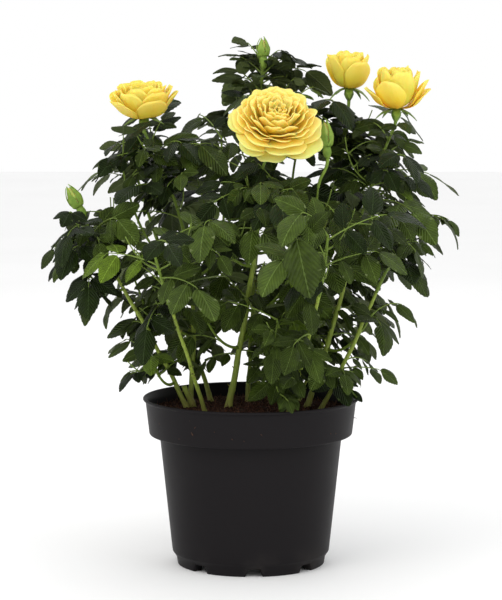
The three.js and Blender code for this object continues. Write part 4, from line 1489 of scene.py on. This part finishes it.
# What each flower stands on, where its cup begins, the way it faces, and how far from its middle
# leaves keep. Rings run from the heart outwards. Each holds how many petals, the turn of the first,
# the point its petals are drawn towards and their lip (radius, height), half the angle they wrap,
# how far their corners fall back, and how far the lip rolls over.
blooms = {
    "bloom_centre": {
        "on": "foliage_centre_top",
        "base": (21, -50, 388),
        "axis": (0.06, -0.61, 0.79),
        "room": (13, 38),
        "rings": [
            (5, 0, (4, 9), (2.5, 20), 1.1, 0, 0.5),
            (6, 40, (7, 7), (6.5, 23), 0.85, 0, 1),
            (7, 12, (11, 5), (11, 25), 0.72, 0, 1.5),
            (8, 55, (14, 3), (15, 25.5), 0.6, 0.5, 2),
            (9, 25, (18, 1), (19.5, 25), 0.52, 1, 2.5),
            (9, 4, (21, 0), (24, 22.5), 0.5, 1.5, 3),
            (9, 20, (24, -1), (28, 19), 0.5, 2, 3.5),
            (8, 2, (24.5, -1), (31, 16), 0.52, 2, 4),
            (6, 54, (25, -1), (34.5, 11), 0.62, 3, 4),
            (5, 38, (26, -3), (38, 3), 0.66, 3, 4),
            (1, 84, (20, -7), (30, -15), 0.62, -1, -3),
            (1, 152, (27, -5), (44, -3), 0.62, 2, 2),
            (1, 8, (25, 1), (39, 9), 0.5, 4, 5),
            (1, 42, (25, -4), (37, -5), 0.5, 3, 4),
        ],
    },
    "bloom_left": {
        "on": "foliage_left_top",
        "base": (-94, 9, 394),
        "axis": (-0.05, -0.2, 1),
        "room": (16, 30),
        "rings": [
            (5, 0, (4, 9), (3.5, 26), 1.1, 0, 0.5),
            (6, 30, (9, 8), (9, 29), 0.85, 0, 1),
            (6, 0, (14, 6), (14, 30), 0.75, 1, 1.5),
            (7, 25, (18, 3), (18.5, 29), 0.65, 1, 2),
            (6, 10, (21, 0), (23, 28), 0.68, 1, 2.5),
            (5, 40, (22, -2), (27, 22), 0.66, 2, 3.5),
        ],
    },
    "bloom_right": {
        "on": "foliage_right_top",
        "base": (127, 0, 401),
        "axis": (0.06, -0.1, 1),
        "room": (16, 28),
        "rings": [
            (4, 0, (5, 16), (2, 36), 1.3, 0, 0),
            (5, 30, (10, 12), (6, 38), 1.0, 0, 0.5),
            (5, 0, (14, 8), (10.5, 37), 0.9, 0.5, 1),
            (5, 36, (20, 6), (15, 35), 0.85, 0, 2),
            (3, 60, (24, 2), (22, 28), 0.7, 0.5, 3.5),
            (2, 5, (24, 1), (25, 21), 0.75, 1, 5),
        ],
    },
    "bloom_back": {
        "on": "foliage_back_right_top",
        "base": (87, 40, 418),
        "axis": (0, -0.1, 1),
        "room": (16, 22),
        "rings": [
            (4, 0, (4, 12), (2, 29), 1.2, 0, 0.5),
            (5, 30, (8, 8), (7, 32), 0.9, 0, 1),
            (5, 0, (13, 4), (11.5, 33), 0.85, 0, 2),
            (5, 20, (17, 1), (15, 32), 0.85, 0.5, 3),
            (2, 120, (18, -1), (20, 29), 0.75, 1, 4),
        ],
    },
}

# Size is a bud's length and radius.
buds = {
    "bud_left": {
        "on": "foliage_left_outer_top",
        "base": (-149, -20, 317),
        "axis": (-0.5, -0.1, 0.9),
        "size": (19, 6),
    },
    "bud_top": {
        "on": "foliage_back_top",
        "base": (11, 50, 446),
        "axis": (-0.05, 0, 1),
        "size": (15, 5.5),
    },
    "bud_right": {
        "on": "foliage_right_inner",
        "base": (65, -37, 370),
        "axis": (-0.1, -0.1, 1),
        "size": (21, 6),
    },
}

flowerLook = {
    "petalThickness": 0.45,
    "petalColumns": 14,
    "petalRows": 14,
    "claw": (1.5, 0.5, 0),
    "rollsFrom": 0.62,
    "ruffle": 1.5,
    "stalkGirth": (1.3, 1.7),
    "stalkSteps": 24,
    # the hip's outline in millimetres, and a bud's in shares of its radius and length
    "hip": ((0, -11), (1.6, -11), (3.2, -8.5), (4.4, -5.5), (4.0, -2.5), (3.7, -1), (4.6, 0.6), (0, 2)),
    "bud": ((0, 0), (0.55, 0.05), (0.9, 0.2), (1, 0.36), (0.88, 0.58), (0.55, 0.82), (0.25, 0.95), (0, 1)),
    "sepals": 5,
    "sepalWidth": 3.2,
    "sepalThickness": 0.5,
    "budSepalWidth": 0.62,  # in shares of the bud's radius
    "budSepalThickness": 0.6,
}

# Each silk's colours at the lip, in the middle and at the claw.
silks = {
    # painted light: the centre bloom's silk is a brighter copy of the cupped one, lifting the shade its
    # crowded petals cast on one another
    "petalsOpen": ((1.0, 0.77, 0.22), (1.0, 0.67, 0.08), (1.0, 0.57, 0.02)),
    "petalsCupped": ((0.93, 0.71, 0.14), (0.92, 0.60, 0.05), (0.90, 0.45, 0.02)),
    "budPetals": ((0.62, 0.60, 0.16), (0.80, 0.62, 0.14), (0.40, 0.45, 0.10)),
}

# Each green's fresh and deep colours.
greens = {
    "sepals": ((0.17, 0.26, 0.035), (0.10, 0.17, 0.02)),
    "budSepals": ((0.24, 0.36, 0.055), (0.14, 0.24, 0.03)),
}


# The middle and radius of the room that each flower keeps free of leaves.
def flowerRooms():
    for flower in blooms.values():
        rise, radius = flower["room"]
        yield Vector(flower["base"]) + Vector(flower["axis"]).normalized() * rise, radius
    for flower in buds.values():
        length, radius = flower["size"]
        yield Vector(flower["base"]) + Vector(flower["axis"]).normalized() * length * 0.5, radius + 6


# Turns (radius, turn, height) about a flower's own axis into a point in millimetres.
def flowerFrame(flower):
    along = Vector(flower["axis"]).normalized()
    across = along.cross(Vector((0, 1, 0))).normalized()
    over = along.cross(across)
    base = Vector(flower["base"])

    def place(radius, turn, height):
        return base + across * radius * cos(turn) + over * radius * sin(turn) + along * height

    return place


# A petal as a sheet of points: it leaves the claw, passes the pull point and rolls over at the lip.
def addPetal(heap, place, ring, turn, draw):
    pull, lip, half, drop, roll = ring[2:]
    columns, rows = flowerLook["petalColumns"], flowerLook["petalRows"]
    lip = Vector((*lip, 0)) + Vector((draw.uniform(-1, 1), draw.uniform(-1.4, 1), 0))
    path = Bend(flowerLook["claw"], (*pull, 0), lip)
    phase, skew, notch = draw.uniform(0, 9), draw.uniform(-0.12, 0.12), draw.uniform(0, 0.05)
    points, uvs = [], []
    for j in range(rows + 1):
        for i in range(columns + 1):
            u = 2 * i / columns - 1
            # a round lip with a slight notch in its middle
            reach = 1 - 0.16 * u * u - 0.10 * abs(u) ** 5 - notch * exp(-(u / 0.25) ** 2)
            v = j / rows * reach
            spot, slope = path.point(v), path.along(max(0.02, v))
            # narrow at the claw and widest about two thirds of the way up
            width = half * (0.32 + 0.68 * sin(pi * min(1, 0.12 + 0.60 * v)))
            tip = max(0, v - flowerLook["rollsFrom"]) / (1 - flowerLook["rollsFrom"])
            curl = roll * tip * tip
            ripple = flowerLook["ruffle"] * tip * sin(5 * u + phase + 2 * v) * min(1, roll / 2 + 0.3)
            radius = spot.x + curl * slope.y + ripple * slope.y
            height = spot.y - curl * slope.x * 0.6 - curl * 0.25 - drop * u * u * v
            radius *= 1 + 0.05 * u + 0.02 * sin(3 * phase + 4 * v)
            points.append(place(radius, turn + (u + skew * v) * width, height) * mm)
            uvs.append((0.5 + 0.5 * u, v))
    heap.add(points, sheetFaces(rows, columns), uvs)


# A flat sheet becomes a closed skin of the given thickness.
def thicken(mesh, thickness):
    sheet = link(mesh)
    modifier = sheet.modifiers.new("skin", "SOLIDIFY")
    modifier.thickness = thickness * mm
    modifier.offset = 0
    modifier.use_rim = True
    bpy.context.view_layer.update()
    thick = sheet.evaluated_get(bpy.context.evaluated_depsgraph_get())
    skin = bpy.data.meshes.new_from_object(thick)
    name = mesh.name
    bpy.data.objects.remove(sheet)
    bpy.data.meshes.remove(mesh)
    skin.name = name
    return link(skin)


# Yellow petals: butter at the lip, deeper towards the claw, with faint lengthwise veins.
def petalSilk(name):
    lip, middle, claw = silks[name]
    fixed = {"Specular IOR Level": 0.3, "Subsurface Weight": 0.5, "Subsurface Scale": 0.01}
    finish = Finish(name, fixed)
    u, v = finish.uv()
    lengthwise = finish.node("ShaderNodeCombineXYZ", None, {0: u, 1: v * 0.07})
    veins = finish.speckle(60, 3, 0.6, lengthwise)
    cloud = finish.speckle(55, 3)
    reach = v + (cloud - 0.5) * 0.2
    tone = finish.blend(reach.rise(0.15, 0.62), claw, middle)
    tone = finish.blend(reach.rise(0.55, 1.0), tone, lip)
    finish.color(finish.blend(veins.rise(0.45, 0.8) * 0.22, tone, middle))
    finish.roughness(0.55 + veins * 0.12)
    finish.bump(veins + cloud * 0.3, 0.0003)
    return finish.material


# Soft green of hips, stalks and sepals.
def budGreen(name):
    fresh, deep = greens[name]
    finish = Finish(name, {"Specular IOR Level": 0.25})
    grain = finish.speckle(700, 3, stretch=(1, 1, 0.2))
    cloud = finish.speckle(160, 2)
    finish.color(finish.blend(cloud.rise(0.3, 0.7), fresh, deep))
    finish.roughness(0.45 + grain * 0.2)
    finish.bump(grain, 0.0002)
    return finish.material


# A sepal: a narrow pointed leaf that leaves the hip's top and hangs back or holds the bud.
def addSepal(heap, place, turn, path, width):
    points, uvs = [], []
    rows, columns = 10, 4
    for j in range(rows + 1):
        v = j / rows
        spot = path.point(v)
        half = width * (1 - v) ** 0.8 * (0.75 + 0.5 * sin(pi * v)) + 0.12
        half *= 1 + 0.18 * sin(17 * v)
        for i in range(columns + 1):
            u = 2 * i / columns - 1
            radius = max(0.4, spot.x) + 0.25 * u * u * half
            points.append(place(radius, turn + u * half / max(3.0, spot.x), spot.y) * mm)
            uvs.append((0.5 + u / 2, v))
    heap.add(points, sheetFaces(rows, columns), uvs)


# A closed surface turned round a flower's axis.
def turnAbout(place, outline, sides):
    turns = [2 * pi * j / sides for j in range(sides)]
    points, faces, uvs = turnedSurface(outline, turns)
    points = [place(hypot(p.x, p.y) / mm, atan2(p.y, p.x), p.z / mm) * mm for p in points]
    return points, faces, uvs


# A stalk's path: it leaves its stem's tip along the stem and ends in the hip along the flower's axis.
def stalkPath(flower):
    carrier = stemCurves[flower["on"]]
    start, along, end = carrier.point(1), carrier.along(1), Vector(flower["base"])
    axis = Vector(flower["axis"]).normalized()
    end = end - axis * 9
    reach = 0.4 * (end - start).length
    first, second = start + along * reach, end - axis * reach
    path = []
    for k in range(flowerLook["stalkSteps"] + 1):
        t = k / flowerLook["stalkSteps"]
        rest = 1 - t
        spot = start * rest ** 3 + first * 3 * t * rest ** 2 + second * 3 * t * t * rest + end * t ** 3
        path.append(spot * mm)
    return path


def addStalk(heap, flower):
    path = stalkPath(flower)
    thin, thick = flowerLook["stalkGirth"]
    radii = [(thin + (thick - thin) * (k / (len(path) - 1)) ** 3) * mm for k in range(len(path))]
    tube(heap, path, radii, 10)


def makeBlooms():
    openSilkPaintedLight, cuppedSilk = petalSilk("petalsOpen"), petalSilk("petalsCupped")
    greenery = budGreen("sepals")
    for seed, (name, flower) in enumerate(blooms.items()):
        draw = random.Random(40 + seed)
        place = flowerFrame(flower)
        heap, green = Heap(), Heap()
        for ring in flower["rings"]:
            count, first = ring[:2]
            for k in range(count):
                turn = radians(first) + 2 * pi * k / count + draw.uniform(-0.12, 0.12)
                addPetal(heap, place, ring, turn, draw)
        piece = thicken(heap.mesh(name + "Petals"), flowerLook["petalThickness"])
        # the centre bloom takes the brighter silk copy, painted light against its own petal shade
        settle(piece, [name], openSilkPaintedLight if name == "bloom_centre" else cuppedSilk)
        addStalk(green, flower)
        green.add(*turnAbout(place, flowerLook["hip"], 18))
        sheets = Heap()
        for k in range(flowerLook["sepals"]):
            path = Bend((4, 0, 0), (12, -2, 0), (19, -9 + draw.uniform(-3, 3), 0))
            turn = 2 * pi * k / flowerLook["sepals"] + 0.3
            addSepal(sheets, place, turn, path, flowerLook["sepalWidth"])
        settle(link(green.mesh(name + "Stalk")), [name], greenery)
        sepals = thicken(sheets.mesh(name + "Sepals"), flowerLook["sepalThickness"])
        settle(sepals, [name], greenery)
    print("blooms done")


def makeBuds():
    shell, greenery = petalSilk("budPetals"), budGreen("budSepals")
    for seed, (name, flower) in enumerate(buds.items()):
        draw = random.Random(60 + seed)
        place = flowerFrame(flower)
        length, radius = flower["size"]
        green, sheets, heart = Heap(), Heap(), Heap()
        outline = [(r * radius * 0.95, h * length) for r, h in flowerLook["bud"]]
        heart.add(*turnAbout(place, outline, 20))
        addStalk(green, flower)
        green.add(*turnAbout(place, [(r * 0.9, h) for r, h in flowerLook["hip"]], 16))
        for k in range(flowerLook["sepals"]):
            tip = (radius * 0.3, length * 1.02 + draw.uniform(-1, 3), 0)
            path = Bend((3.6, 0, 0), (radius * 1.55, length * 0.42, 0), tip)
            turn = 2 * pi * k / flowerLook["sepals"]
            addSepal(sheets, place, turn, path, radius * flowerLook["budSepalWidth"])
        settle(link(heart.mesh(name + "Petals")), [name], shell)
        settle(link(green.mesh(name + "Stalk")), [name], greenery)
        sepals = thicken(sheets.mesh(name + "Sepals"), flowerLook["budSepalThickness"])
        settle(sepals, [name], greenery)
    print("buds done")


stemCurves = {}
makeCamera()
makeStudio()
makeFloor()
makePot()
makeSoil()
caneCurves = makeCanes()
makeLeaves(caneCurves, makeNewShoot())
makeBlooms()
makeBuds()
